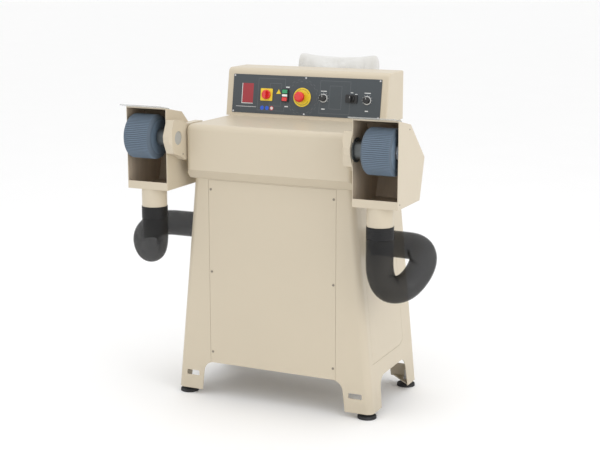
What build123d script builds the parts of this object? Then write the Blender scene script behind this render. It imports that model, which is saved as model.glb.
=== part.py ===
"""Twin-head drum sander on a sheet-metal cabinet: one STEP file for each piece.

Frame: X to the operator's right, Y away from the operator, Z up from the floor, millimetres.
The origin is on the floor, in the middle of the machine's footprint.
"""
import os
from math import atan2, cos, degrees, hypot, radians, sin, tan

from build123d import *

os.makedirs("parts", exist_ok=True)

# ------------------------------------------------------------------ driving dimensions
RUN = 0.05            # radial running clearance of a shaft in its bore
SLIDE = 0.3           # clearance round a button or between moving faces
SEAM = 1.0            # gap round a flush sheet panel
SHEET = 2.5           # cabinet and console sheet
LID_SHEET = 2.0       # hood sheet

CABINET_Y = -38.0     # middle of the cabinet and of the feet, seen from the footprint's middle
CABINET_HALF_DEPTH = 237.0
LEG_BOTTOM = 22.0
CABINET_TOP = 847.0
BOTTOM_HALF_WIDTH = 404.0
TOP_HALF_WIDTH = 322.0
CABINET_BEND = 25.0

ARCH_TOP = 137.0
ARCH_HALF_TOP = 284.0
ARCH_HALF_BOTTOM = 297.0
ARCH_BEND = 42.0
SIDE_ARCH_HALF_TOP = 128.0
SIDE_ARCH_HALF_BOTTOM = 139.0
SLOT_MIDDLE = (337.0, 85.5)
SLOT_SIZE = (53.0, 20.0)

PANEL_HALF_WIDTH = 258.0
PANEL_TOP = 843.0
FLANGE = 18.0         # width of the flange behind a flush panel
PANEL_SCREW_X = 249.0
PANEL_SCREW_Z = (808.0, 494.0, 180.0)
SCREW_HEAD = 4.5
SMALL_SCREW_HEAD = 3.4
SCREW_HEAD_HEIGHT = 1.6
SCREW_SHANK = 2.5
SCREW_GRIP = 4.8      # length of a screw below its head

SIDE_PANEL_FRONT = -185.0   # from the cabinet's middle
SIDE_PANEL_REAR = 124.0
SIDE_PANEL_BOTTOM = 199.0
SIDE_PANEL_TOP = 826.0
SIDE_PANEL_CORNER = 34.0

FOOT_X = 372.0
FOOT_Y = 204.0
FOOT_RADIUS = 35.0
FOOT_PAD = 11.0
FOOT_EDGE = 3.0
FOOT_PLATE = 4.0
FOOT_PLATE_REACH = 92.0
FOOT_PLATE_TIP = 1.5
STUD_RADIUS = 6.0
STUD_TOP = 62.0
NUT_FLATS = 19.0
NUT_HEIGHT = 8.0

HEAD_HALF_WIDTH = 335.0
HEAD_FRONT = CABINET_Y - 271.0
HEAD_REAR = CABINET_Y + 219.0
HEAD_TOP = 1051.0
HEAD_CHAMFER = 35.0
HEAD_BEND = 22.0
HEAD_SHEET = 3.0

CONSOLE_LEAN = 9.12
CONSOLE_FOOT = CABINET_Y + 47.7
CONSOLE_TOP = 1234.0
CONSOLE_BEND = 20.0
PLATE_HALF_WIDTH = 308.0
PLATE_HEIGHT = 148.0
PLATE_START = 12.5    # from the console's foot, along its face
PLATE_THICK = 2.0
PLATE_SCREW_X = 302.0
PLATE_SCREW_EDGE = 5.5

MAIN_SWITCH = (-162.0, 73.0)
MAIN_SWITCH_SIZE = (50.0, 47.0, 3.0)
PUSH_BLOCK = (-83.0, 73.0)
PUSH_BLOCK_SIZE = (29.0, 49.0, 6.0)
PUSH_BUTTON_SIZE = (21.0, 14.0)
PUSH_BUTTON_STEP = 14.5
PUSH_PROUD = 3.0
LENS_SIZE = (21.0, 8.0)
EMERGENCY = (-12.0, 69.0)
EMERGENCY_DISC = 36.0
EMERGENCY_DISC_THICK = 1.5
MUSHROOM_RADIUS = 20.0
MUSHROOM_TOP = 38.0
MUSHROOM_HEAD = 15.0
MUSHROOM_EDGE = 9.0
MUSHROOM_NECK = 12.0
MUSHROOM_SHAFT = 8.0
SELECTOR = (191.0, 72.0)
SELECTOR_SIZE = (47.0, 31.0, 5.0)
SPEED_KNOBS = {"left": (76.0, 70.0), "right": (253.0, 69.0)}
SPEED_RING = 16.5
MAIN_KNOB = (18.0, 6.0, (31.0, 11.0, 14.0))      # radius, height, grip bar
SELECTOR_KNOB = (13.0, 5.0, (22.0, 8.0, 11.0))
SPEED_KNOB = (12.0, 15.0, None)
RING_THICK = 1.2
KNOB_SHAFT = 4.0
KNOB_SHAFT_DEPTH = 16.0

AXIS_Y = CABINET_Y - 320.0      # drum axis
AXIS_Z = 1005.0
MOTOR_Y = AXIS_Y + 130.0        # motor axis, behind the drum axis and a little below it
MOTOR_Z = AXIS_Z - 35.0
ARM_INNER = HEAD_HALF_WIDTH
ARM_OUTER = 367.0
ARM_TOP = 1073.0
ARM_BOTTOM = 918.0
ARM_NOSE = 56.0                 # from the drum axis to the arm's front
# corners of the arm's nose from its chin round to its top, ahead of and above the drum axis
ARM_NOSE_CORNERS = ((13, -68), (-33, -54), (-54, -10), (-ARM_NOSE, 11), (-30, 68), (18, 64))
ARM_REAR = MOTOR_Y + 52.0
ARM_WALL = 5.0
ARM_EDGE = 12.0
PLUG_RADIUS = 25.0
PLUG_DEPTH = 2.5
PULLEY_RADIUS = 26.0
PULLEY_WIDTH = 16.0
PULLEY_START = ARM_INNER + 6.5
BELT_THICK = 3.0
BELT_WIDTH = 11.4

BEARING_OUTER = 20.0
BEARING_WIDTH = 12.0
SPINDLE_RADIUS = 8.5
NOSE_FLANGE = 43.0
NOSE_FLANGE_THICK = 5.0
NOSE_RADIUS = 33.5
NOSE_END = 409.0
NOSE_SPIGOT = 26.0

DRUM_START = 411.5
DRUM_END = 521.0
DRUM_RADIUS = 82.0
HUB_RADIUS = 64.0
SHOULDER = 15.0                 # rounding of the drum's inner rim
OUTER_ROUND = 6.0
FLUTES = 72
FLUTE_RADIUS = 1.9
HUB_RECESS_RADIUS = 30.0
HUB_RECESS = 6.0
SPINDLE_NUT_FLATS = 46.0
SPINDLE_NUT_HEIGHT = 14.0

HOOD_INNER = ARM_OUTER
HOOD_OUTER = 535.0
HOOD_FRONT = CABINET_Y - 352.0
HOOD_TOP = 1115.0
HOOD_BOTTOM = 811.0
HOOD_LIP = 29.0
HOOD_SHOULDER = (CABINET_Y - 237.0, 1092.0)
HOOD_BACK = (CABINET_Y - 91.0, 960.0)
HOOD_HEEL = CABINET_Y - 135.0
SPOUT_X = 452.5
SPOUT_Y = CABINET_Y - 303.0
SPOUT_RADIUS = 47.0
SPOUT_END = 742.0
VISOR_REACH = 44.0
VISOR_THICK = 4.0
VISOR_LAP = 26.0

HOSE_RADIUS = 49.0
INLET_Y = CABINET_Y - 90.0
INLET_Z = 634.0
INLET_FACE = 365.0              # where the hose meets its inlet collar
INLET_DEPTH = 42.0
COLLAR_WALL = 4.0

MOTOR_RADIUS = 58.0
MOTOR_LENGTH = 205.0
MOTOR_SHAFT = 8.0
MOTOR_EDGE = 4.0
MOTOR_FOOT = (140.0, 84.0)
SHELF_Z = 362.0
SHELF_THICK = 3.0
FAN_RADIUS = 155.0
FAN_HEIGHT = 130.0
FAN_SHEET = 2.0
DUCT_RADIUS = 60.0
DUCT_WALL = 2.0
DUCT_BEND = 110.0
FAN_X = DUCT_RADIUS + FAN_SHEET - FAN_RADIUS
FAN_Y = CABINET_Y + 10.0
FAN_OUTLET_Y = CABINET_Y + 188.0
FAN_INLET = 48.0
IMPELLER_RADIUS = 125.0
IMPELLER_LIFT = 5.0
IMPELLER_PLATE = 3.0
BLADES = 12
BLADE_PLACE = 87.0
BLADE_SIZE = (68.0, 2.5)
BLADE_RAKE = 28.0
BLADE_HEIGHT = 78.0
FAN_MOTOR_RADIUS = 70.0
FAN_MOTOR_HEIGHT = 145.0
FAN_MOTOR_FLANGE = 84.0

BAG_Y = CABINET_Y + 377.0
BAG_WIDTH = 376.0
BAG_THICK = 202.0
BAG_BOTTOM = 600.0
BAG_TOP = 1275.0
BAG_ROUND = 60.0
BAG_LOW_ROUND = 36.0
BAG_CORNER = 80.0
NECK_LENGTH = 40.0
NECK_WALL = 2.5
STRAP_THICK = 2.0
STRAP_WIDTH = 15.0
STRAP_DROP = 30.0

DRIVE_SIZE = (95.0, 60.0, 125.0)
DRIVE_X = 200.0
DRIVE_Z = 1136.0
DRIVE_CORNER = 4.0
GLAND = (-250.0, 900.0)
GLAND_RADIUS = 12.0
GLAND_HEX = 9.0
GLAND_CAP = 14.0
GLAND_CAP_RADIUS = 10.2
GLAND_THREAD = 6.0
GLAND_THREAD_RADIUS = 9.0

CABLE_OPENING = (160.0, 120.0)
CONSOLE_CABLES = 90.0
EMERGENCY_TRAVEL = 6.0
SHAFT_WINDOW = 31.0
NOSE_LIP = 1.5
MOTOR_SEAT = 30.0
BELT_TRACK = 12.0
COLLAR_LIP = 14.0
INLET_BORE = 42.0
DUCT_CORNER = 75.0
IMPELLER_HUB = 18.0
FAN_SHAFT_SEAT = 30.0
MOTOR_FLANGE = 4.0

# ------------------------------------------------------------------ worked-out places
CABINET_FRONT = CABINET_Y - CABINET_HALF_DEPTH
CABINET_REAR = CABINET_Y + CABINET_HALF_DEPTH
SLOPE = (BOTTOM_HALF_WIDTH - TOP_HALF_WIDTH) / (CABINET_TOP - LEG_BOTTOM)
PANEL_BOTTOM = ARCH_TOP
BELT_LEAN = degrees(atan2(MOTOR_Z - AXIS_Z, MOTOR_Y - AXIS_Y))
DUCT_Z = SHELF_Z + SHELF_THICK + FAN_HEIGHT / 2
FAN_TOP = SHELF_Z + SHELF_THICK + FAN_HEIGHT


def half_width(z):
    """Outer half width of the cabinet at a height."""
    return BOTTOM_HALF_WIDTH - SLOPE * (z - LEG_BOTTOM)


def facing_front(y):
    """Sketch plane across the machine at y: local x is X, local y is Z, normal is -Y."""
    return Plane(origin=(0, y, 0), x_dir=(1, 0, 0), z_dir=(0, -1, 0))


def facing_right(x):
    """Sketch plane along the machine at x: local x is Y, local y is Z, normal is +X."""
    return Plane(origin=(x, 0, 0), x_dir=(0, 1, 0), z_dir=(1, 0, 0))


def side_face(side):
    """Plane on a leaning side wall, side 1 right or -1 left: local x is side * Y, y runs up."""
    return Plane(
        origin=(side * BOTTOM_HALF_WIDTH, CABINET_Y, LEG_BOTTOM),
        x_dir=(0, side, 0),
        z_dir=(side, 0, SLOPE),
    )


UP_SLOPE = (1 + SLOPE**2) ** 0.5     # length along the slope for each millimetre of height
CONSOLE_FACE = Plane(
    origin=(0, CONSOLE_FOOT, HEAD_TOP),
    x_dir=(1, 0, 0),
    z_dir=(0, -cos(radians(CONSOLE_LEAN)), sin(radians(CONSOLE_LEAN))),
)


def control(place, height=0.0):
    """Plane on the control plate's surface, at a place given from the plate's bottom edge."""
    at = CONSOLE_FACE.from_local_coords(
        (place[0], PLATE_START + place[1], PLATE_THICK + height)
    )
    return Plane(origin=at, x_dir=CONSOLE_FACE.x_dir, z_dir=CONSOLE_FACE.z_dir)


def save(piece, name):
    piece.label = name
    export_step(piece, f"parts/{name}.step")


def save_pair(piece, name):
    """Write the right-hand piece and its mirror image."""
    save(piece, f"right_{name}")
    save(mirror(piece, about=Plane.YZ), f"left_{name}")


# ------------------------------------------------------------------ cabinet
def arch(plane, half_top, half_bottom):
    """Opening between two legs, with its upper corners rounded."""
    with BuildSketch(plane) as outline:
        with BuildLine():
            Polyline(
                (-half_bottom, LEG_BOTTOM - 1),
                (-half_top, ARCH_TOP),
                (half_top, ARCH_TOP),
                (half_bottom, LEG_BOTTOM - 1),
                close=True,
            )
        make_face()
        fillet(outline.vertices().group_by(Axis.Y)[-1], ARCH_BEND)
    return outline.sketch


def side_panel_outline(side, margin, depth=0.0):
    """Outline of a flush side panel, grown by a margin, at a depth inside the wall."""
    low = (SIDE_PANEL_BOTTOM - LEG_BOTTOM) * UP_SLOPE - margin
    high = (SIDE_PANEL_TOP - LEG_BOTTOM) * UP_SLOPE + margin
    front = SIDE_PANEL_FRONT - margin
    rear = SIDE_PANEL_REAR + margin
    corner = SIDE_PANEL_CORNER
    with BuildSketch(side_face(side).offset(-depth)) as outline:
        with BuildLine():
            Polyline(
                (side * front, low),
                (side * (rear - corner), low),
                (side * rear, low + corner / 2),
                (side * rear, high),
                (side * front, high),
                close=True,
            )
        make_face()
    return outline.sketch


def panel_opening(half, low, high, mode=Mode.ADD):
    """Upright rectangle on the front or rear wall, from one height to another."""
    with Locations((0, (low + high) / 2)):
        Rectangle(2 * half, high - low, mode=mode)


SCREW_PLACES = [(x, z) for x in (-PANEL_SCREW_X, PANEL_SCREW_X) for z in PANEL_SCREW_Z]

with BuildPart() as cabinet_shell:
    with BuildSketch(facing_front(CABINET_REAR)):
        with BuildLine():
            Polyline(
                (-BOTTOM_HALF_WIDTH, LEG_BOTTOM),
                (BOTTOM_HALF_WIDTH, LEG_BOTTOM),
                (TOP_HALF_WIDTH, CABINET_TOP),
                (-TOP_HALF_WIDTH, CABINET_TOP),
                close=True,
            )
        make_face()
    extrude(amount=2 * CABINET_HALF_DEPTH)
    upright = cabinet_shell.edges().filter_by(Axis.Y, reverse=True)
    fillet(upright.filter_by(Axis.X, reverse=True), CABINET_BEND)
    offset(amount=-SHEET, openings=cabinet_shell.faces().sort_by(Axis.Z)[0])
    # arches between the legs, right through
    front_arch = arch(facing_front(CABINET_Y), ARCH_HALF_TOP, ARCH_HALF_BOTTOM)
    extrude(front_arch, amount=2 * CABINET_HALF_DEPTH, both=True, mode=Mode.SUBTRACT)
    middle = Plane(origin=(0, CABINET_Y, 0), x_dir=(0, 1, 0), z_dir=(1, 0, 0))
    side_arch = arch(middle, SIDE_ARCH_HALF_TOP, SIDE_ARCH_HALF_BOTTOM)
    extrude(side_arch, amount=2 * BOTTOM_HALF_WIDTH, both=True, mode=Mode.SUBTRACT)
    # handling slots in the front and rear legs
    with BuildSketch(facing_front(CABINET_Y)):
        with Locations(SLOT_MIDDLE, (-SLOT_MIDDLE[0], SLOT_MIDDLE[1])):
            RectangleRounded(*SLOT_SIZE, 3)
    extrude(amount=2 * CABINET_HALF_DEPTH, both=True, mode=Mode.SUBTRACT)
    # front and rear openings with the flanges that carry their panels
    for wall_y, inward in ((CABINET_FRONT, 1), (CABINET_REAR, -1)):
        with BuildSketch(facing_front(wall_y)):
            panel_opening(PANEL_HALF_WIDTH + SEAM, PANEL_BOTTOM - SEAM, PANEL_TOP + SEAM)
        extrude(amount=-inward * SHEET, mode=Mode.SUBTRACT)
        with BuildSketch(facing_front(wall_y + inward * SHEET)):
            panel_opening(PANEL_HALF_WIDTH + FLANGE, PANEL_BOTTOM, CABINET_TOP - SHEET)
            panel_opening(
                PANEL_HALF_WIDTH - FLANGE,
                PANEL_BOTTOM + FLANGE,
                PANEL_TOP - FLANGE,
                Mode.SUBTRACT,
            )
        extrude(amount=-inward * SHEET)
        with BuildSketch(facing_front(wall_y)):
            with Locations(*SCREW_PLACES):
                Circle(SCREW_SHANK + RUN)
        extrude(amount=-inward * 3 * SHEET, mode=Mode.SUBTRACT)
    # side openings with the flanges that carry their panels
    for side in (-1, 1):
        extrude(side_panel_outline(side, SEAM), amount=-SHEET, mode=Mode.SUBTRACT)
        extrude(side_panel_outline(side, FLANGE, SHEET), amount=-SHEET)
        extrude(side_panel_outline(side, -FLANGE, SHEET), amount=-SHEET, mode=Mode.SUBTRACT)
    # shelf that carries the fan, with a hole for its motor
    with BuildSketch(Plane.XY.offset(SHELF_Z)):
        with Locations((0, CABINET_Y)):
            RectangleRounded(
                2 * (half_width(SHELF_Z + SHELF_THICK) - SHEET - 1.5),
                2 * (CABINET_HALF_DEPTH - 2 * SHEET + 1),
                CABINET_BEND,
            )
        with Locations((FAN_X, FAN_Y)):
            Circle(FAN_MOTOR_RADIUS + SEAM, mode=Mode.SUBTRACT)
    extrude(amount=SHELF_THICK)
    # cable opening in the top
    with BuildSketch(Plane.XY.offset(CABINET_TOP)):
        with Locations((0, CABINET_Y)):
            RectangleRounded(CABLE_OPENING[0], CABLE_OPENING[1], 10)
    extrude(amount=-2 * SHEET, mode=Mode.SUBTRACT)
save(cabinet_shell.part, "cabinet_shell")


def flush_panel(wall_y, inward, duct_radius):
    """Front or rear panel, flush in the cabinet wall."""
    with BuildPart() as panel:
        with BuildSketch(facing_front(wall_y)):
            panel_opening(PANEL_HALF_WIDTH, PANEL_BOTTOM, PANEL_TOP)
            with Locations(*SCREW_PLACES):
                Circle(SCREW_SHANK + RUN, mode=Mode.SUBTRACT)
            if duct_radius:
                with Locations((0, DUCT_Z)):
                    Circle(duct_radius, mode=Mode.SUBTRACT)
        extrude(amount=-inward * SHEET)
    return panel.part


save(flush_panel(CABINET_FRONT, 1, 0), "front_panel")
save(flush_panel(CABINET_REAR, -1, DUCT_RADIUS + SLIDE), "rear_panel")

with BuildPart() as side_panel:
    extrude(side_panel_outline(1, 0), amount=-SHEET)
    with BuildSketch(facing_right(0)):
        with Locations((INLET_Y, INLET_Z)):
            Circle(HOSE_RADIUS - COLLAR_WALL + SLIDE)
    extrude(amount=2 * BOTTOM_HALF_WIDTH, mode=Mode.SUBTRACT)
save_pair(side_panel.part, "side_panel")

with BuildPart() as housing_screws:
    for wall_y, outward in ((CABINET_FRONT, 1), (CABINET_REAR, -1)):
        with BuildSketch(facing_front(wall_y)):
            with Locations(*SCREW_PLACES):
                Circle(SCREW_HEAD)
        extrude(amount=outward * SCREW_HEAD_HEIGHT)
        with BuildSketch(facing_front(wall_y)):
            with Locations(*SCREW_PLACES):
                Circle(SCREW_SHANK)
        extrude(amount=-outward * SCREW_GRIP)
    heads = housing_screws.edges().filter_by(GeomType.CIRCLE).filter_by(
        lambda e: abs(e.radius - SCREW_HEAD) < 0.01
    )
    fillet(heads.group_by(Axis.Y)[0] + heads.group_by(Axis.Y)[-1], SCREW_HEAD_HEIGHT / 2)
save(housing_screws.part, "housing_screws")

# ------------------------------------------------------------------ feet
with BuildPart() as foot_plates:
    reach = FOOT_PLATE_REACH
    half_x = half_width(LEG_BOTTOM + FOOT_PLATE) - SHEET - SLIDE
    half_y = CABINET_HALF_DEPTH - SHEET - SLIDE
    for side_x in (-1, 1):
        for side_y in (-1, 1):
            with BuildSketch(Plane.XY.offset(LEG_BOTTOM)) as plate:
                corner_x = side_x * half_x
                corner_y = CABINET_Y + side_y * half_y
                with BuildLine():
                    Polyline(
                        (corner_x, corner_y),
                        (corner_x - side_x * reach, corner_y),
                        (corner_x - side_x * reach, corner_y - side_y * FOOT_PLATE_TIP),
                        (corner_x, corner_y - side_y * reach),
                        close=True,
                    )
                make_face()
                outer = plate.vertices().sort_by_distance((corner_x, corner_y, LEG_BOTTOM))[0]
                fillet(outer, CABINET_BEND - SHEET)
                with Locations((side_x * FOOT_X, CABINET_Y + side_y * FOOT_Y)):
                    Circle(STUD_RADIUS + RUN, mode=Mode.SUBTRACT)
            extrude(amount=FOOT_PLATE)
save(foot_plates.part, "foot_plates")

FOOT_PLACES = [(x, CABINET_Y + y) for x in (-FOOT_X, FOOT_X) for y in (-FOOT_Y, FOOT_Y)]
with BuildPart() as levelling_feet:
    with Locations(*FOOT_PLACES):
        Cylinder(FOOT_RADIUS, FOOT_PAD, align=(Align.CENTER, Align.CENTER, Align.MIN))
    chamfer(levelling_feet.edges().group_by(Axis.Z)[-1], FOOT_EDGE)
save(levelling_feet.part, "levelling_feet")

with BuildPart() as foot_fasteners:
    with BuildSketch(Plane.XY.offset(FOOT_PAD)):
        with Locations(*FOOT_PLACES):
            Circle(STUD_RADIUS)
    extrude(amount=STUD_TOP - FOOT_PAD)
    for nut_z in (LEG_BOTTOM - NUT_HEIGHT, LEG_BOTTOM + FOOT_PLATE):
        with BuildSketch(Plane.XY.offset(nut_z)):
            with Locations(*FOOT_PLACES):
                RegularPolygon(NUT_FLATS / 2, 6, major_radius=False)
        extrude(amount=NUT_HEIGHT)
save(foot_fasteners.part, "foot_fasteners")

# ------------------------------------------------------------------ head casing and console
with BuildPart() as head_casing:
    with BuildSketch(facing_right(-HEAD_HALF_WIDTH)):
        with BuildLine():
            Polyline(
                (HEAD_FRONT + HEAD_CHAMFER, CABINET_TOP),
                (HEAD_REAR, CABINET_TOP),
                (HEAD_REAR, HEAD_TOP),
                (HEAD_FRONT, HEAD_TOP),
                (HEAD_FRONT, CABINET_TOP + HEAD_CHAMFER),
                close=True,
            )
        make_face()
    extrude(amount=2 * HEAD_HALF_WIDTH)
    fillet(head_casing.edges().filter_by(Axis.Z).group_by(Axis.Y)[0], HEAD_BEND)
    top_front = head_casing.faces().sort_by(Axis.Z)[-1].edges().sort_by(Axis.Y)[0]
    fillet(top_front, HEAD_BEND)
    offset(amount=-HEAD_SHEET, mode=Mode.SUBTRACT)
    with BuildSketch(Plane.XY.offset(CABINET_TOP)):
        with Locations((0, CABINET_Y)):
            RectangleRounded(CABLE_OPENING[0], CABLE_OPENING[1], 10)
    extrude(amount=2 * HEAD_SHEET, mode=Mode.SUBTRACT)
    with BuildSketch(Plane.XY.offset(HEAD_TOP)):
        with Locations((0, (CONSOLE_FOOT + HEAD_REAR) / 2)):
            RectangleRounded(CABLE_OPENING[0], CONSOLE_CABLES, 10)
    extrude(amount=-2 * HEAD_SHEET, mode=Mode.SUBTRACT)
    # holes for the motor shafts and for the cable gland
    with BuildSketch(facing_right(-HEAD_HALF_WIDTH)):
        with Locations((MOTOR_Y, MOTOR_Z)):
            Circle(SHAFT_WINDOW)
    extrude(amount=2 * HEAD_HALF_WIDTH, mode=Mode.SUBTRACT)
    with BuildSketch(facing_front(HEAD_REAR)):
        with Locations(GLAND):
            Circle(GLAND_THREAD_RADIUS + RUN)
    extrude(amount=2 * HEAD_SHEET, mode=Mode.SUBTRACT)
save(head_casing.part, "head_casing")

with BuildPart() as console_housing:
    lean = tan(radians(CONSOLE_LEAN))
    with BuildSketch(facing_right(-HEAD_HALF_WIDTH)):
        with BuildLine():
            Polyline(
                (CONSOLE_FOOT, HEAD_TOP),
                (HEAD_REAR, HEAD_TOP),
                (HEAD_REAR, CONSOLE_TOP),
                (CONSOLE_FOOT + lean * (CONSOLE_TOP - HEAD_TOP), CONSOLE_TOP),
                close=True,
            )
        make_face()
    extrude(amount=2 * HEAD_HALF_WIDTH)
    crown = console_housing.faces().sort_by(Axis.Z)[-1]
    fillet(crown.edges().sort_by(Axis.Y)[0], CONSOLE_BEND)
    fillet(console_housing.faces().sort_by(Axis.X)[0].edges().group_by(Axis.Z)[-1], 6)
    fillet(console_housing.faces().sort_by(Axis.X)[-1].edges().group_by(Axis.Z)[-1], 6)
    offset(amount=-SHEET, openings=console_housing.faces().sort_by(Axis.Z)[0])
    # opening behind the control plate
    with BuildSketch(CONSOLE_FACE):
        with Locations((0, PLATE_START + PLATE_HEIGHT / 2)):
            Rectangle(2 * (PLATE_HALF_WIDTH - FLANGE), PLATE_HEIGHT - 1.5 * FLANGE)
    extrude(amount=-2 * SHEET, mode=Mode.SUBTRACT)
save(console_housing.part, "console_housing")

with BuildPart() as speed_drives:
    width, depth, height = DRIVE_SIZE
    with BuildSketch(facing_front(HEAD_REAR - SHEET)):
        with Locations((-DRIVE_X, DRIVE_Z), (DRIVE_X, DRIVE_Z)):
            RectangleRounded(width, height, DRIVE_CORNER)
    extrude(amount=depth)
save(speed_drives.part, "speed_drives")

with BuildPart() as cable_gland:
    with BuildSketch(facing_front(HEAD_REAR)):
        with Locations(GLAND):
            RegularPolygon(GLAND_RADIUS, 6, major_radius=False)
    extrude(amount=-GLAND_HEX)
    with BuildSketch(facing_front(HEAD_REAR + GLAND_HEX)):
        with Locations(GLAND):
            Circle(GLAND_CAP_RADIUS)
    extrude(amount=-GLAND_CAP, taper=12)
    with BuildSketch(facing_front(HEAD_REAR)):
        with Locations(GLAND):
            Circle(GLAND_THREAD_RADIUS)
    extrude(amount=HEAD_SHEET + GLAND_THREAD)
save(cable_gland.part, "cable_gland")

# ------------------------------------------------------------------ controls
HOLE_PLACES = (
    (MAIN_SWITCH, KNOB_SHAFT + RUN),
    (SELECTOR, KNOB_SHAFT + RUN),
    (SPEED_KNOBS["left"], KNOB_SHAFT + RUN),
    (SPEED_KNOBS["right"], KNOB_SHAFT + RUN),
    (EMERGENCY, MUSHROOM_SHAFT + RUN),
)
START_PLACE = (PUSH_BLOCK[0], PUSH_BLOCK[1] + PUSH_BUTTON_STEP)
STOP_PLACE = (PUSH_BLOCK[0], PUSH_BLOCK[1] - PUSH_BUTTON_STEP)
PLATE_SCREWS = [
    (x, s)
    for x in (-PLATE_SCREW_X, 0, PLATE_SCREW_X)
    for s in (PLATE_SCREW_EDGE, PLATE_HEIGHT - PLATE_SCREW_EDGE)
]
PANEL_SURFACE = control((0, 0))


def outermost(piece):
    """Face of a control that stands furthest out of the panel."""
    return piece.faces().sort_by(Axis(PANEL_SURFACE.origin, PANEL_SURFACE.z_dir))[-1]


def button_pockets():
    """Through pockets for the two push buttons and the lamp lens."""
    width, height = PUSH_BUTTON_SIZE
    with Locations(START_PLACE, STOP_PLACE):
        RectangleRounded(width + 2 * SLIDE, height + 2 * SLIDE, 2, mode=Mode.SUBTRACT)
    with Locations(PUSH_BLOCK):
        Rectangle(LENS_SIZE[0] + 2 * RUN, LENS_SIZE[1] + 2 * RUN, mode=Mode.SUBTRACT)


with BuildPart() as control_plate:
    with BuildSketch(PANEL_SURFACE):
        with Locations((0, PLATE_HEIGHT / 2)):
            RectangleRounded(2 * PLATE_HALF_WIDTH, PLATE_HEIGHT, 2)
        for place, radius in HOLE_PLACES:
            with Locations(place):
                Circle(radius, mode=Mode.SUBTRACT)
        with Locations(*PLATE_SCREWS):
            Circle(SCREW_SHANK / 2 + RUN, mode=Mode.SUBTRACT)
        button_pockets()
    extrude(amount=-PLATE_THICK)
save(control_plate.part, "control_plate")

with BuildPart() as control_plate_screws:
    with BuildSketch(PANEL_SURFACE):
        with Locations(*PLATE_SCREWS):
            Circle(SMALL_SCREW_HEAD)
    extrude(amount=SCREW_HEAD_HEIGHT)
    with BuildSketch(PANEL_SURFACE):
        with Locations(*PLATE_SCREWS):
            Circle(SCREW_SHANK / 2)
    extrude(amount=-PLATE_THICK)
save(control_plate_screws.part, "control_plate_screws")

with BuildPart() as main_switch_plate:
    width, height, thick = MAIN_SWITCH_SIZE
    with BuildSketch(control(MAIN_SWITCH)):
        RectangleRounded(width, height, 3)
        Circle(KNOB_SHAFT + RUN, mode=Mode.SUBTRACT)
    extrude(amount=thick)
save(main_switch_plate.part, "main_switch_plate")


def knob(place, base, radius, height, grip):
    """Turning knob on a shaft, with an optional grip bar (length, width, height)."""
    with BuildPart() as piece:
        with BuildSketch(control(place, base + SLIDE)):
            Circle(radius)
        extrude(amount=height)
        chamfer(outermost(piece).edges(), 1)
        if grip:
            with BuildSketch(control(place, base + SLIDE + height)):
                SlotOverall(grip[0], grip[1], rotation=90)
            extrude(amount=grip[2])
        with BuildSketch(control(place, base + SLIDE)):
            Circle(KNOB_SHAFT)
        extrude(amount=-base - SLIDE - KNOB_SHAFT_DEPTH)
    return piece.part


save(knob(MAIN_SWITCH, MAIN_SWITCH_SIZE[2], *MAIN_KNOB), "main_switch_knob")
save(knob(SELECTOR, SELECTOR_SIZE[2], *SELECTOR_KNOB), "selector_knob")
for side, place in SPEED_KNOBS.items():
    save(knob(place, 0, *SPEED_KNOB), f"{side}_speed_knob")

with BuildPart() as speed_rings:
    for place in SPEED_KNOBS.values():
        with BuildSketch(control(place)):
            Circle(SPEED_RING)
            Circle(SPEED_KNOB[0] + SEAM, mode=Mode.SUBTRACT)
        extrude(amount=RING_THICK)
save(speed_rings.part, "speed_rings")

with BuildPart() as selector_bezel:
    width, height, thick = SELECTOR_SIZE
    with BuildSketch(control(SELECTOR)):
        RectangleRounded(width, height, 4)
        Circle(KNOB_SHAFT + RUN, mode=Mode.SUBTRACT)
    extrude(amount=thick)
save(selector_bezel.part, "selector_bezel")

with BuildPart() as pushbutton_bezel:
    width, height, thick = PUSH_BLOCK_SIZE
    with BuildSketch(PANEL_SURFACE):
        with Locations(PUSH_BLOCK):
            RectangleRounded(width, height, 3)
        button_pockets()
    extrude(amount=thick)
save(pushbutton_bezel.part, "pushbutton_bezel")


def push_button(place):
    top = PUSH_BLOCK_SIZE[2] + PUSH_PROUD
    with BuildPart() as button:
        with BuildSketch(control(place, top)):
            RectangleRounded(*PUSH_BUTTON_SIZE, 2)
        extrude(amount=-top - PLATE_THICK)
        chamfer(outermost(button).edges(), 0.8)
    return button.part


save(push_button(START_PLACE), "start_button")
save(push_button(STOP_PLACE), "stop_button")

with BuildPart() as indicator_lens:
    with BuildSketch(control(PUSH_BLOCK, PUSH_BLOCK_SIZE[2] + 1)):
        Rectangle(*LENS_SIZE)
    extrude(amount=-PUSH_BLOCK_SIZE[2] - 1)
save(indicator_lens.part, "indicator_lens")

with BuildPart() as emergency_disc:
    with BuildSketch(control(EMERGENCY)):
        Circle(EMERGENCY_DISC)
        Circle(MUSHROOM_SHAFT + RUN, mode=Mode.SUBTRACT)
    extrude(amount=EMERGENCY_DISC_THICK)
save(emergency_disc.part, "emergency_disc")

with BuildPart() as emergency_button:
    head_base = MUSHROOM_TOP - MUSHROOM_HEAD
    with BuildSketch(control(EMERGENCY, head_base)):
        Circle(MUSHROOM_RADIUS)
    extrude(amount=MUSHROOM_HEAD)
    fillet(outermost(emergency_button).edges(), MUSHROOM_EDGE)
    with BuildSketch(control(EMERGENCY, head_base)):
        Circle(MUSHROOM_NECK)
    extrude(amount=-head_base + EMERGENCY_DISC_THICK + EMERGENCY_TRAVEL + SEAM)
    with BuildSketch(control(EMERGENCY, head_base)):
        Circle(MUSHROOM_SHAFT)
    extrude(amount=-head_base - KNOB_SHAFT_DEPTH)
save(emergency_button.part, "emergency_button")

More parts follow.
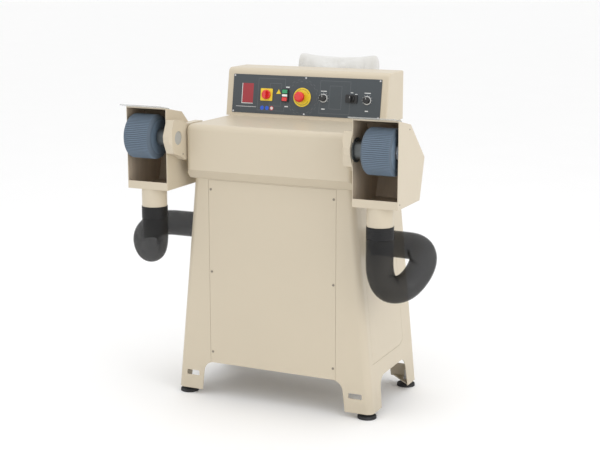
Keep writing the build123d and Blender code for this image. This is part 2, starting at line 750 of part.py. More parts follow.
# ------------------------------------------------------------------ heads: arms, belts, spindles
def disc(x, radius, length, hole=0.0, y=AXIS_Y, z=AXIS_Z):
    """Round body along X, added to the part being built."""
    with BuildSketch(facing_right(x)) as section:
        with Locations((y, z)):
            Circle(radius)
            if hole:
                Circle(hole, mode=Mode.SUBTRACT)
    extrude(section.sketch, amount=length)


def bore(x, radius, length, y=AXIS_Y, z=AXIS_Z):
    """Round hole along X, cut from the part being built."""
    with BuildSketch(facing_right(x)) as section:
        with Locations((y, z)):
            Circle(radius)
    extrude(section.sketch, amount=length, mode=Mode.SUBTRACT)


def arm_section(x, margin):
    """Side outline of the arm at x: a blunt nose and a tapered body, shrunk by a margin."""
    nose = [(AXIS_Y + ahead, AXIS_Z + rise) for ahead, rise in ARM_NOSE_CORNERS]
    with BuildSketch(facing_right(x)) as section:
        with BuildLine():
            Polyline(
                *nose,
                (HEAD_FRONT + HEAD_BEND, HEAD_TOP - SEAM),
                (ARM_REAR, HEAD_TOP - SEAM),
                (ARM_REAR, ARM_BOTTOM),
                (HEAD_FRONT, ARM_BOTTOM),
                close=True,
            )
        make_face()
        if margin:
            offset(amount=-margin, kind=Kind.INTERSECTION)
    return section.sketch


with BuildPart() as arm_housing:
    extrude(arm_section(ARM_INNER, 0), amount=ARM_OUTER - ARM_INNER)
    # slanted inner side of the nose
    with BuildSketch(Plane.XY.offset(ARM_BOTTOM)):
        with BuildLine():
            Polyline(
                (ARM_INNER, AXIS_Y - ARM_NOSE + ARM_EDGE),
                (ARM_INNER + ARM_EDGE, AXIS_Y - ARM_NOSE - 1),
                (ARM_INNER, AXIS_Y - ARM_NOSE - 1),
                close=True,
            )
        make_face()
    extrude(amount=ARM_TOP - ARM_BOTTOM, mode=Mode.SUBTRACT)
    cavity = arm_section(ARM_INNER + ARM_WALL, 2 * ARM_WALL)
    extrude(cavity, amount=ARM_OUTER - ARM_INNER - 2 * ARM_WALL, mode=Mode.SUBTRACT)
    bore(ARM_INNER, PLUG_RADIUS + RUN, ARM_WALL)
    bore(ARM_INNER, SHAFT_WINDOW, ARM_WALL, y=MOTOR_Y, z=MOTOR_Z)
    bore(ARM_OUTER - ARM_WALL, NOSE_SPIGOT + RUN, ARM_WALL)
save_pair(arm_housing.part, "arm_housing")


def save_both(piece, name):
    """Write the right-hand piece and its mirror image as two solids of one node."""
    save(Compound(children=[piece, mirror(piece, about=Plane.YZ)]), name)


with BuildPart() as arm_plug:
    disc(ARM_INNER + PLUG_DEPTH, PLUG_RADIUS, ARM_WALL - PLUG_DEPTH)
save_both(arm_plug.part, "arm_plugs")

with BuildPart() as bearing_nose:
    disc(ARM_OUTER - ARM_WALL, NOSE_SPIGOT, ARM_WALL)
    disc(ARM_OUTER, NOSE_FLANGE, NOSE_FLANGE_THICK)
    disc(ARM_OUTER, NOSE_RADIUS, NOSE_END - ARM_OUTER)
    chamfer(bearing_nose.faces().sort_by(Axis.X)[-1].edges(), 2)
    bore(ARM_OUTER - ARM_WALL, BEARING_OUTER, NOSE_END - ARM_OUTER + ARM_WALL - NOSE_LIP)
    bore(ARM_OUTER, SPINDLE_RADIUS + 2, NOSE_END - ARM_OUTER)
save_both(bearing_nose.part, "bearing_noses")

with BuildPart() as spindle_bearing:
    for start in (ARM_OUTER - ARM_WALL + 2, NOSE_END - NOSE_LIP - BEARING_WIDTH):
        disc(start, BEARING_OUTER - RUN / 2, BEARING_WIDTH, SPINDLE_RADIUS + RUN)
save_both(spindle_bearing.part, "spindle_bearings")

with BuildPart() as spindle:
    disc(PULLEY_START, SPINDLE_RADIUS, DRUM_END + 2 - PULLEY_START)
    disc(NOSE_END + SLIDE, SPINDLE_RADIUS + 5, DRUM_START - NOSE_END - SLIDE)
    chamfer(spindle.faces().sort_by(Axis.X)[-1].edges(), 1)
save_pair(spindle.part, "spindle")


def pulley_rim(y, z, hole):
    """Flanged belt pulley with its belt track between two flanges."""
    disc(PULLEY_START, PULLEY_RADIUS, PULLEY_WIDTH, hole, y=y, z=z)
    flange_width = (PULLEY_WIDTH - BELT_TRACK) / 2
    for start in (PULLEY_START, PULLEY_START + PULLEY_WIDTH - flange_width):
        disc(start, PULLEY_RADIUS + BELT_THICK, flange_width, hole, y=y, z=z)


with BuildPart() as spindle_pulley:
    pulley_rim(AXIS_Y, AXIS_Z, SPINDLE_RADIUS)
save_pair(spindle_pulley.part, "spindle_pulley")

MOTOR_FACE = HEAD_HALF_WIDTH - HEAD_SHEET
with BuildPart() as drive_motor:
    disc(MOTOR_FACE - MOTOR_LENGTH, MOTOR_RADIUS, MOTOR_LENGTH, y=MOTOR_Y, z=MOTOR_Z)
    chamfer(drive_motor.edges().filter_by(GeomType.CIRCLE), MOTOR_EDGE)
    with BuildSketch(Plane.XY.offset(CABINET_TOP + HEAD_SHEET)):
        with Locations((MOTOR_FACE - MOTOR_LENGTH / 2, MOTOR_Y)):
            Rectangle(*MOTOR_FOOT)
    extrude(amount=MOTOR_Z - CABINET_TOP - HEAD_SHEET - MOTOR_RADIUS / 2)
    bore(MOTOR_FACE - MOTOR_SEAT, MOTOR_SHAFT + RUN, MOTOR_SEAT, y=MOTOR_Y, z=MOTOR_Z)
save_both(drive_motor.part, "drive_motors")

with BuildPart() as motor_pulley:
    shaft_start = MOTOR_FACE - MOTOR_SEAT + SLIDE
    disc(shaft_start, MOTOR_SHAFT, PULLEY_START - shaft_start, y=MOTOR_Y, z=MOTOR_Z)
    pulley_rim(MOTOR_Y, MOTOR_Z, 0)
save_pair(motor_pulley.part, "motor_pulley")

with BuildPart() as drive_belt:
    spread = hypot(MOTOR_Y - AXIS_Y, MOTOR_Z - AXIS_Z)
    inner = 2 * (PULLEY_RADIUS + SLIDE)
    with BuildSketch(facing_right(PULLEY_START + (PULLEY_WIDTH - BELT_WIDTH) / 2)):
        with Locations(((MOTOR_Y + AXIS_Y) / 2, (MOTOR_Z + AXIS_Z) / 2)):
            SlotCenterToCenter(spread, inner + 2 * BELT_THICK, rotation=BELT_LEAN)
            SlotCenterToCenter(spread, inner, rotation=BELT_LEAN, mode=Mode.SUBTRACT)
    extrude(amount=BELT_WIDTH)
save_both(drive_belt.part, "drive_belts")

# ------------------------------------------------------------------ drums
with BuildPart() as drum_hub:
    disc(DRUM_START, HUB_RADIUS, DRUM_END - DRUM_START)
    bore(DRUM_END - HUB_RECESS, HUB_RECESS_RADIUS, HUB_RECESS)
    bore(DRUM_START, SPINDLE_RADIUS, DRUM_END - DRUM_START)
save_pair(drum_hub.part, "drum_hub")

with BuildPart() as drum_sleeve:
    disc(DRUM_START, DRUM_RADIUS, DRUM_END - DRUM_START, HUB_RADIUS)
    rims = drum_sleeve.edges().filter_by(GeomType.CIRCLE).filter_by(
        lambda e: abs(e.radius - DRUM_RADIUS) < 0.01
    )
    fillet(rims.sort_by(Axis.X)[0], SHOULDER)
    fillet(rims.sort_by(Axis.X)[-1], OUTER_ROUND)
    with BuildSketch(facing_right(DRUM_START)):
        with Locations((AXIS_Y, AXIS_Z)):
            with PolarLocations(DRUM_RADIUS, FLUTES):
                Circle(FLUTE_RADIUS)
    extrude(amount=DRUM_END - DRUM_START, mode=Mode.SUBTRACT)
save_pair(drum_sleeve.part, "drum_sleeve")

with BuildPart() as drum_nut:
    with BuildSketch(facing_right(DRUM_END - HUB_RECESS)):
        with Locations((AXIS_Y, AXIS_Z)):
            RegularPolygon(SPINDLE_NUT_FLATS / 2, 6, major_radius=False)
            Circle(SPINDLE_RADIUS, mode=Mode.SUBTRACT)
    extrude(amount=SPINDLE_NUT_HEIGHT)
save_pair(drum_nut.part, "drum_nut")


# ------------------------------------------------------------------ hoods and visors
def hood_section(x, margin):
    """Side outline of the hood at x, shrunk by a margin."""
    with BuildSketch(facing_right(x)) as section:
        with BuildLine():
            Polyline(
                (HOOD_FRONT, HOOD_TOP),
                HOOD_SHOULDER,
                HOOD_BACK,
                (HOOD_HEEL, HOOD_BOTTOM),
                (HOOD_FRONT, HOOD_BOTTOM),
                close=True,
            )
        make_face()
        if margin:
            offset(amount=-margin, kind=Kind.INTERSECTION)
    return section.sketch


with BuildPart() as hood:
    extrude(hood_section(HOOD_INNER, 0), amount=HOOD_OUTER - HOOD_INNER)
    with BuildSketch(Plane.XY.offset(HOOD_BOTTOM)):
        with Locations((SPOUT_X, SPOUT_Y)):
            Circle(SPOUT_RADIUS)
    extrude(amount=SPOUT_END - HOOD_BOTTOM)
    inside = hood_section(HOOD_INNER + LID_SHEET, LID_SHEET)
    extrude(inside, amount=HOOD_OUTER - HOOD_INNER - 2 * LID_SHEET, mode=Mode.SUBTRACT)
    with BuildSketch(Plane.XY.offset(SPOUT_END)):
        with Locations((SPOUT_X, SPOUT_Y)):
            Circle(SPOUT_RADIUS - LID_SHEET)
    extrude(amount=HOOD_BOTTOM + LID_SHEET - SPOUT_END, mode=Mode.SUBTRACT)
    # work opening above the front lip
    with BuildSketch(facing_front(HOOD_FRONT)):
        low = HOOD_BOTTOM + HOOD_LIP
        high = HOOD_TOP - 2 * LID_SHEET
        with Locations(((HOOD_INNER + HOOD_OUTER) / 2, (low + high) / 2)):
            Rectangle(HOOD_OUTER - HOOD_INNER - 2 * LID_SHEET, high - low)
    extrude(amount=-2 * LID_SHEET, mode=Mode.SUBTRACT)
    bore(HOOD_INNER, NOSE_FLANGE + SLIDE, LID_SHEET)
save_pair(hood.part, "hood")

ROOF_SLOPE = (HOOD_TOP - HOOD_SHOULDER[1]) / (HOOD_SHOULDER[0] - HOOD_FRONT)
with BuildPart() as visor:
    with BuildSketch(facing_right(HOOD_INNER)):
        rear = HOOD_FRONT + VISOR_LAP
        front = HOOD_FRONT - VISOR_REACH
        rear_z = HOOD_TOP - ROOF_SLOPE * VISOR_LAP
        front_z = HOOD_TOP + ROOF_SLOPE * VISOR_REACH
        with BuildLine():
            Polyline(
                (rear, rear_z),
                (rear, rear_z + VISOR_THICK),
                (front, front_z + VISOR_THICK),
                (front, front_z),
                close=True,
            )
        make_face()
    extrude(amount=HOOD_OUTER - HOOD_INNER)
save_both(visor.part, "visors")

# ------------------------------------------------------------------ dust hoses and their inlets
HOSE_ROUTES = {
    "right": [
        (452.5, -341, 742),
        (452.5, -341, 655),
        (452, -341, 572),
        (473, -321, 512),
        (520, -276, 508),
        (553, -228, 552),
        (560, -176, 602),
        (524, -134, 633),
        (450, -128, 634),
        (365, -128, 634),
    ],
    "left": [
        (-452.5, -341, 742),
        (-452.5, -341, 682),
        (-452, -341, 618),
        (-474, -320, 567),
        (-523, -278, 557),
        (-568, -230, 588),
        (-574, -178, 616),
        (-532, -136, 635),
        (-450, -128, 634),
        (-365, -128, 634),
    ],
}


def bend_radii(route):
    """Largest arc at each corner that its two runs leave room for."""
    corners = [Vector(*point) for point in route]
    radii = []
    for before, here, after in zip(corners, corners[1:], corners[2:]):
        arriving = here - before
        leaving = after - here
        turn = radians(arriving.get_angle(leaving))
        radii.append(0.45 * min(arriving.length, leaving.length) / tan(turn / 2))
    return radii


for side, route in HOSE_ROUTES.items():
    radii = bend_radii(route)
    with BuildPart() as hose:
        with BuildLine() as hose_path:
            FilletPolyline(*route, radius=radii)
        centreline = hose_path.wires()[0]
        with BuildSketch(Plane(origin=route[0], z_dir=centreline % 0)) as hose_section:
            Circle(HOSE_RADIUS)
        sweep(path=centreline)
    swept = centreline.length * hose_section.sketch.area
    print(side, "hose radii", [round(radius) for radius in radii])
    print("length", round(centreline.length), "volume ratio", round(hose.part.volume / swept, 4))
    save(hose.part, f"{side}_hose")

with BuildPart() as hose_inlet:
    disc(INLET_FACE - INLET_DEPTH, HOSE_RADIUS - COLLAR_WALL, INLET_DEPTH, y=INLET_Y, z=INLET_Z)
    disc(INLET_FACE - COLLAR_LIP, HOSE_RADIUS, COLLAR_LIP, y=INLET_Y, z=INLET_Z)
    bore(INLET_FACE - INLET_DEPTH, INLET_BORE, INLET_DEPTH, y=INLET_Y, z=INLET_Z)
save_both(hose_inlet.part, "hose_inlets")

# ------------------------------------------------------------------ suction: duct, fan, outlet
with BuildPart() as suction_duct:
    half = INLET_FACE - INLET_DEPTH
    branch = [(FAN_X, FAN_Y, FAN_TOP), (FAN_X, FAN_Y, INLET_Z), (FAN_X, INLET_Y, INLET_Z)]
    for radius, mode in ((FAN_INLET, Mode.ADD), (FAN_INLET - DUCT_WALL, Mode.SUBTRACT)):
        with BuildSketch(facing_right(-half)):
            with Locations((INLET_Y, INLET_Z)):
                Circle(radius)
        extrude(amount=2 * half, mode=mode)
        with BuildLine() as branch_path:
            FilletPolyline(*branch, radius=DUCT_CORNER)
        with BuildSketch(Plane(origin=branch[0], z_dir=(0, 0, 1))):
            Circle(radius)
        sweep(path=branch_path.wires()[0], mode=mode)
save(suction_duct.part, "suction_duct")

with BuildPart() as fan_housing:
    base = SHELF_Z + SHELF_THICK
    for inset, mode in ((0, Mode.ADD), (FAN_SHEET, Mode.SUBTRACT)):
        with BuildSketch(Plane.XY.offset(base + inset)):
            with Locations((FAN_X, FAN_Y)):
                Circle(FAN_RADIUS - inset)
            with Locations((0, FAN_Y)):
                Rectangle(
                    2 * (DUCT_RADIUS + FAN_SHEET - inset),
                    FAN_OUTLET_Y - FAN_Y - inset,
                    align=(Align.CENTER, Align.MIN),
                )
        extrude(amount=FAN_HEIGHT - 2 * inset, mode=mode)
    with BuildSketch(Plane.XY.offset(base)):
        with Locations((FAN_X, FAN_Y)):
            Circle(IMPELLER_HUB + SLIDE)
    extrude(amount=FAN_SHEET, mode=Mode.SUBTRACT)
    with BuildSketch(Plane.XY.offset(FAN_TOP)):
        with Locations((FAN_X, FAN_Y)):
            Circle(FAN_INLET - DUCT_WALL)
    extrude(amount=-FAN_SHEET, mode=Mode.SUBTRACT)
    with BuildSketch(facing_front(FAN_OUTLET_Y)):
        with Locations((0, DUCT_Z)):
            Circle(DUCT_RADIUS - DUCT_WALL)
    extrude(amount=FAN_SHEET, mode=Mode.SUBTRACT)
save(fan_housing.part, "fan_housing")

with BuildPart() as fan_impeller:
    plate_z = SHELF_Z + SHELF_THICK + FAN_SHEET + IMPELLER_LIFT
    with BuildSketch(Plane.XY.offset(plate_z)):
        with Locations((FAN_X, FAN_Y)):
            Circle(IMPELLER_RADIUS)
    extrude(amount=IMPELLER_PLATE)
    with BuildSketch(Plane.XY.offset(plate_z + IMPELLER_PLATE)):
        with Locations((FAN_X, FAN_Y)):
            with PolarLocations(BLADE_PLACE, BLADES):
                Rectangle(*BLADE_SIZE, rotation=BLADE_RAKE)
    extrude(amount=BLADE_HEIGHT)
    with BuildSketch(Plane.XY.offset(SHELF_Z - FAN_SHAFT_SEAT)):
        with Locations((FAN_X, FAN_Y)):
            Circle(MOTOR_SHAFT)
    extrude(amount=plate_z + IMPELLER_PLATE - SHELF_Z + FAN_SHAFT_SEAT)
    with BuildSketch(Plane.XY.offset(plate_z + IMPELLER_PLATE)):
        with Locations((FAN_X, FAN_Y)):
            Circle(IMPELLER_HUB)
    extrude(amount=IMPELLER_HUB)
save(fan_impeller.part, "fan_impeller")

with BuildPart() as fan_motor:
    motor_top = SHELF_Z + SHELF_THICK
    with BuildSketch(Plane.XY.offset(motor_top - FAN_MOTOR_HEIGHT)):
        with Locations((FAN_X, FAN_Y)):
            Circle(FAN_MOTOR_RADIUS)
    extrude(amount=FAN_MOTOR_HEIGHT)
    chamfer(fan_motor.faces().sort_by(Axis.Z)[0].edges(), 2 * MOTOR_EDGE)
    with BuildSketch(Plane.XY.offset(SHELF_Z - MOTOR_FLANGE)):
        with Locations((FAN_X, FAN_Y)):
            Circle(FAN_MOTOR_FLANGE)
    extrude(amount=MOTOR_FLANGE)
    with BuildSketch(Plane.XY.offset(motor_top)):
        with Locations((FAN_X, FAN_Y)):
            Circle(MOTOR_SHAFT + RUN)
    extrude(amount=-FAN_SHAFT_SEAT - SHELF_THICK - SLIDE, mode=Mode.SUBTRACT)
save(fan_motor.part, "fan_motor")

with BuildPart() as outlet_duct:
    route = [(0, FAN_OUTLET_Y, DUCT_Z), (0, BAG_Y, DUCT_Z), (0, BAG_Y, BAG_BOTTOM)]
    with BuildLine() as outlet_path:
        FilletPolyline(*route, radius=DUCT_BEND)
    with BuildSketch(Plane(origin=route[0], z_dir=(0, 1, 0))):
        Circle(DUCT_RADIUS)
        Circle(DUCT_RADIUS - DUCT_WALL, mode=Mode.SUBTRACT)
    sweep(path=outlet_path.wires()[0])
save(outlet_duct.part, "outlet_duct")

# ------------------------------------------------------------------ filter bag
with BuildPart() as filter_bag:
    with BuildSketch(Plane.XY.offset(BAG_BOTTOM + SLIDE)):
        with Locations((0, BAG_Y)):
            RectangleRounded(BAG_WIDTH, BAG_THICK, BAG_CORNER)
    extrude(amount=BAG_TOP - BAG_BOTTOM - SLIDE)
    fillet(filter_bag.faces().sort_by(Axis.Z)[-1].edges(), BAG_ROUND)
    fillet(filter_bag.faces().sort_by(Axis.Z)[0].edges(), BAG_LOW_ROUND)
    neck_inner = DUCT_RADIUS + SLIDE
    with BuildSketch(Plane.XY.offset(BAG_BOTTOM - NECK_LENGTH)):
        with Locations((0, BAG_Y)):
            Circle(neck_inner + NECK_WALL)
            Circle(neck_inner, mode=Mode.SUBTRACT)
    extrude(amount=NECK_LENGTH + SLIDE)
save(filter_bag.part, "filter_bag")

with BuildPart() as bag_strap:
    strap_inner = DUCT_RADIUS + 2 * SLIDE + NECK_WALL
    with BuildSketch(Plane.XY.offset(BAG_BOTTOM - STRAP_DROP)):
        with Locations((0, BAG_Y)):
            Circle(strap_inner + STRAP_THICK)
            Circle(strap_inner, mode=Mode.SUBTRACT)
    extrude(amount=STRAP_WIDTH)
save(bag_strap.part, "bag_strap")
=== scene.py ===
"""Looks of a twin-end drum sander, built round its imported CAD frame, in metres."""

from math import cos, pi, radians, sin

import bmesh
import bpy
from mathutils import Matrix, Vector


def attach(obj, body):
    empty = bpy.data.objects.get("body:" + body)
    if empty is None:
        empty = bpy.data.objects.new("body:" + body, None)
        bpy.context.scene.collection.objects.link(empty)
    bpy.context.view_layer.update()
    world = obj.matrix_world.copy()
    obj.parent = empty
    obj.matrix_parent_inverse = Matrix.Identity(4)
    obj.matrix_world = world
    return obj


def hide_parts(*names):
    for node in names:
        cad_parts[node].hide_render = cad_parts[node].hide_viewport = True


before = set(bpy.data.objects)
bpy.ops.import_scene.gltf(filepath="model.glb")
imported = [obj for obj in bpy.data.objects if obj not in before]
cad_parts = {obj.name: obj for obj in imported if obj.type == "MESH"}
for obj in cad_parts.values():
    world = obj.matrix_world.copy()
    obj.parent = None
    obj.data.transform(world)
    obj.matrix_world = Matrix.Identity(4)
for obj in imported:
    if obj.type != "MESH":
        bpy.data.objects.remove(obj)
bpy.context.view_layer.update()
BODY = "frame"


# ------------------------------------------------------------------ camera
CAMERA_PLACE = (2.0446, -4.4191, 1.6500)
CAMERA_PITCH = 11.69
CAMERA_TURN = 24.95
CAMERA_LENS = 77.48


def place_camera():
    data = bpy.data.cameras.new("viewpoint")
    data.sensor_width = 36
    data.lens = CAMERA_LENS
    data.clip_end = 60
    camera = bpy.data.objects.new("viewpoint", data)
    camera.location = CAMERA_PLACE
    camera.rotation_euler = (radians(90 - CAMERA_PITCH), 0, radians(CAMERA_TURN))
    bpy.context.scene.collection.objects.link(camera)
    bpy.context.scene.camera = camera


place_camera()


# ------------------------------------------------------------------ shader maths
class Amount:
    """One number in a material. Arithmetic on it adds the Math nodes."""

    def __init__(self, finish, socket):
        self.finish = finish
        self.socket = socket

    def __add__(self, other):
        return self.finish.maths("ADD", self, other)

    __radd__ = __add__

    def __sub__(self, other):
        return self.finish.maths("SUBTRACT", self, other)

    def __rsub__(self, other):
        return self.finish.maths("SUBTRACT", other, self)

    def __mul__(self, other):
        return self.finish.maths("MULTIPLY", self, other)

    __rmul__ = __mul__

    def __truediv__(self, other):
        return self.finish.maths("DIVIDE", self, other)

    def __gt__(self, other):
        return self.finish.maths("GREATER_THAN", self, other)

    def __lt__(self, other):
        return self.finish.maths("LESS_THAN", self, other)

    def __abs__(self):
        return self.finish.maths("ABSOLUTE", self)


class Finish:
    """A material under construction, with its nodes."""

    def __init__(self, name):
        self.material = bpy.data.materials.new(name)
        self.material.use_nodes = True
        self.tree = self.material.node_tree
        self.surface = self.tree.nodes["Principled BSDF"]
        self.place = self.node("ShaderNodeTexCoord").outputs["Object"]

    def node(self, kind, settings=None, **inputs):
        """Add a node: its settings first, then the values or links of its sockets."""
        made = self.tree.nodes.new(kind)
        for key, value in (settings or {}).items():
            setattr(made, key, value)
        for key, value in inputs.items():
            socket = made.inputs[int(key[1:])] if key[1:].isdigit() else made.inputs[key]
            self.feed(socket, value)
        return made

    def feed(self, socket, value):
        if isinstance(value, Amount):
            value = value.socket
        if isinstance(value, bpy.types.NodeSocket):
            self.tree.links.new(value, socket)
        else:
            socket.default_value = value

    def maths(self, operation, *values):
        settings = {"operation": operation}
        inputs = {f"_{index}": value for index, value in enumerate(values)}
        return Amount(self, self.node("ShaderNodeMath", settings, **inputs).outputs[0])

    def smooth(self, value, low, high):
        """0 below low, 1 above high, and a smooth step between."""
        settings = {"interpolation_type": "SMOOTHSTEP"}
        made = self.node("ShaderNodeMapRange", settings, _0=value, _1=low, _2=high)
        return Amount(self, made.outputs[0])

    def along(self, direction, origin=(0, 0, 0)):
        """Distance of a point from an origin, measured in one direction."""
        minus = {"operation": "SUBTRACT"}
        away = self.node("ShaderNodeVectorMath", minus, _0=self.place, _1=origin)
        made = self.node(
            "ShaderNodeVectorMath", {"operation": "DOT_PRODUCT"}, _0=away.outputs[0], _1=direction
        )
        return Amount(self, made.outputs["Value"])

    def noise(self, scale, detail=3.0, rough=0.5, stretch=(1, 1, 1)):
        at = self.node("ShaderNodeMapping", None, Vector=self.place, Scale=stretch)
        made = self.node(
            "ShaderNodeTexNoise",
            None,
            Vector=at.outputs[0],
            Scale=scale,
            Detail=detail,
            Roughness=rough,
        )
        return Amount(self, made.outputs[0])

    def cells(self, scale):
        made = self.node("ShaderNodeTexVoronoi", None, Vector=self.place, Scale=scale)
        return Amount(self, made.outputs["Distance"])

    def radius_from(self, across, up):
        """Distance from a centre, from two distances at right angles."""
        return self.maths("SQRT", across * across + up * up)

    def mix(self, amount, first, second):
        """Colour between two, by an amount."""
        made = self.node(
            "ShaderNodeMix", {"data_type": "RGBA"}, _0=amount, _6=colour(first), _7=colour(second)
        )
        return made.outputs[2]

    def bump(self, height, depth, strength=1.0):
        """Raise and sink the surface by a height field, depth metres for 1."""
        made = self.node("ShaderNodeBump", None, Strength=strength, Distance=depth, Height=height)
        self.feed(self.surface.inputs["Normal"], made.outputs[0])

    def set(self, **values):
        for key, value in values.items():
            self.feed(self.surface.inputs[key.replace("_", " ")], value)

    def paint(self, value):
        self.feed(self.surface.inputs["Base Color"], colour(value))


def colour(value):
    """Three numbers become an opaque colour; a link stays a link."""
    return (*value, 1) if isinstance(value, tuple) and len(value) == 3 else value


def shade(value, factor):
    return tuple(part * factor for part in value)


# ------------------------------------------------------------------ sizes the finishes follow
LEAN = radians(9.12)
FACE_UP = (0, sin(LEAN), cos(LEAN))
FACE_OUT = (0, -cos(LEAN), sin(LEAN))
PLATE_FOOT = (0, 0.0097 + 0.0125 * sin(LEAN), 1.051 + 0.0125 * cos(LEAN))
CUFF_FOOT = 0.699
AXIS_Y = -0.358
AXIS_Z = 1.005
HOOD_PROFILE = (
    (-0.390, 1.115),
    (-0.275, 1.092),
    (-0.129, 0.960),
    (-0.173, 0.811),
    (-0.390, 0.811),
)
EMERGENCY = (-0.012, 0.069)
SPEED_PLACES = ((0.076, 0.070), (0.253, 0.069))
SELECTOR_PLACE = (0.191, 0.072)
PLATE_THICK = 0.002
FAINT_FRAMES = (
    (-0.200, -0.085, 0.012, 0.136),
    (-0.150, -0.100, 0.030, 0.118),
    (0.060, 0.185, 0.012, 0.136),
    (0.100, 0.150, 0.030, 0.118),
)
FRAME_LINE = 0.0016
COG_TEETH = 18
COG_RADIUS = 0.064
COG_DEPTH = 0.0035
COG_LINE = 0.0008
RED_BLOCK = (-0.269, -0.220, 0.039, 0.114)
# the first three bars rule off the block: below it, beside it and along its foot
LIGHT_BARS = (
    (-0.292, -0.205, 0.0235, 0.0250),
    (-0.269, -0.2665, 0.036, 0.114),
    (-0.269, -0.220, 0.036, 0.0385),
    (-0.082, -0.067, 0.1025, 0.1070),
    (-0.084, -0.069, 0.0290, 0.0330),
    (0.064, 0.088, 0.0945, 0.0975),
    (0.070, 0.084, 0.0270, 0.0310),
    (0.241, 0.266, 0.0945, 0.0975),
    (0.247, 0.260, 0.0270, 0.0310),
    (0.186, 0.196, 0.0935, 0.0965),
    (0.204, 0.213, 0.0885, 0.0915),
)
TICKS = 12
TICK_START = 0.93               # cosine at which a dial tick starts
TICK_BAND = (0.0185, 0.0210)    # radii between which a dial's ticks lie
TICK_FOOT = -0.013
TRIANGLE = (-0.112, 0.078)      # middle of the caution triangle's foot
TRIANGLE_HEIGHT = 0.0175
TRIANGLE_SLOPE = 0.58
DISC_DASHES = 46
DASH_START = -0.1
DISC_BAND = (0.0275, 0.0315)    # radii between which the stop disc's dashes lie
DISC_GAP = 0.014
DISC_PRINT = (0.06, 0.05, 0.02)
MARK_RADIUS = 0.0078
MARK_INSIDE = (0.0005, 0.0055)
ROUND_MARKS = (
    ((-0.179, 0.022), (0.02, 0.10, 0.62)),
    ((-0.158, 0.022), (0.02, 0.10, 0.62)),
    ((-0.138, 0.022), (0.62, 0.03, 0.04)),
)
HOOD_INNER = 0.367              # hood's side walls, from the machine's middle
HOOD_OUTER = 0.535
INSIDE_DEPTH = 0.0009           # what lies deeper in the sheet than this gets the painted inside shade
FLUTE_FLOOR = 0.0802            # radius at the bottom of the drum's flutes
FLUTE_CREST = 0.0820
THREAD = 0.0016                 # pitch of the bag's woven scrim
LENS_RIB = 0.0018
TOOL_RINGS = 7200               # turned rings on the drum's face, radians for each metre


# ------------------------------------------------------------------ finishes
CREAM = (0.585, 0.512, 0.392)
# darker brown: painted shade for the hoods' insides, which are the cream in shadow
HOOD_INSIDE_SHADE = (0.500, 0.410, 0.310)
STEEL = (0.56, 0.56, 0.57)
DARK_STEEL = (0.055, 0.058, 0.064)
DRUM_BLUE = (0.135, 0.185, 0.245)
PANEL_GREY = (0.052, 0.063, 0.072)
PANEL_LINE = (0.100, 0.112, 0.122)
PRINT_WHITE = (0.66, 0.68, 0.68)
BLACK = (0.013, 0.013, 0.014)
HOSE_SMOKE = (0.011, 0.011, 0.0115)
HOSE_DUST = (0.022, 0.0215, 0.020)
CUFF_BLACK = (0.006, 0.006, 0.0065)
FELT_CLEAN = (0.68, 0.676, 0.655)
FELT_DUSTY = (0.61, 0.60, 0.57)
FELT_SLUB = (0.55, 0.54, 0.515)
RED = (0.70, 0.020, 0.018)
SIGN_YELLOW = (0.83, 0.62, 0.03)
BLOCK_RED = (0.33, 0.030, 0.040)


def enamel(finish):
    """Powder coat's fine orange peel, its slow colour drift and its handling marks."""
    drift = finish.noise(2.2, 4)
    peel = finish.noise(620, 2)
    marks = finish.noise(38, 6, 0.62, (1, 1, 0.3))
    finish.bump(peel * 0.5 + drift * 0.5, 0.00025, 0.30)
    tone = finish.mix(drift, shade(CREAM, 0.965), shade(CREAM, 1.035))
    return tone, marks


def cream_paint():
    """Cream enamel with faint dust near the floor."""
    finish = Finish("cream powder coat")
    tone, marks = enamel(finish)
    floor_dust = 1 - finish.smooth(finish.along((0, 0, 1)), 0.02, 0.16)
    finish.paint(finish.mix(floor_dust * marks * 0.5, tone, shade(CREAM, 0.72)))
    finish.set(Roughness=0.36 + 0.16 * marks, IOR=1.5, Coat_Weight=0.12, Coat_Roughness=0.25)
    return finish.material


def hood_paint():
    """Cream outside, painted shade inside in a darker brown: the inside lies deeper than half the
    sheet.
    """
    finish = Finish("hood enamel with painted inside shade")
    outside, marks = enamel(finish)
    side = finish.along((1, 0, 0))
    depth = finish.maths("MINIMUM", abs(side) - HOOD_INNER, HOOD_OUTER - abs(side))
    for (y1, z1), (y2, z2) in zip(HOOD_PROFILE, HOOD_PROFILE[1:]):
        run = Vector((0, y2 - y1, z2 - z1)).normalized()
        inward = (0, run.z, -run.y)
        depth = finish.maths("MINIMUM", depth, finish.along(inward, (0, y1, z1)))
    behind_lip = finish.along((0, 1, 0), (0, HOOD_PROFILE[0][0], 0))
    depth = finish.maths("MINIMUM", depth, behind_lip)
    inside = depth > INSIDE_DEPTH
    streaks = finish.noise(26, 5, 0.6, (1, 1, 0.2))
    # painted shade: the hood's inside is painted a streaked darker brown in place of the shadow
    # on its cream
    inside_shade = finish.mix(streaks, shade(HOOD_INSIDE_SHADE, 0.75), shade(HOOD_INSIDE_SHADE, 1.3))
    finish.paint(finish.mix(inside, outside, inside_shade))
    finish.set(Roughness=0.36 + 0.16 * marks + 0.25 * inside, Coat_Roughness=0.25)
    finish.set(Coat_Weight=0.12 * (1 - inside))
    return finish.material


def metal(name, base, rough, grain=(1, 1, 1), metallic=1.0):
    """Machined or plated metal: fine grain in one direction and patchy polish."""
    finish = Finish(name)
    fine = finish.noise(900, 3, 0.6, grain)
    patches = finish.noise(45, 4)
    finish.paint(finish.mix(patches, shade(base, 0.86), shade(base, 1.1)))
    finish.set(Metallic=metallic, Roughness=rough + 0.14 * patches + 0.06 * fine)
    finish.bump(fine, 0.00012, 0.35)
    return finish.material


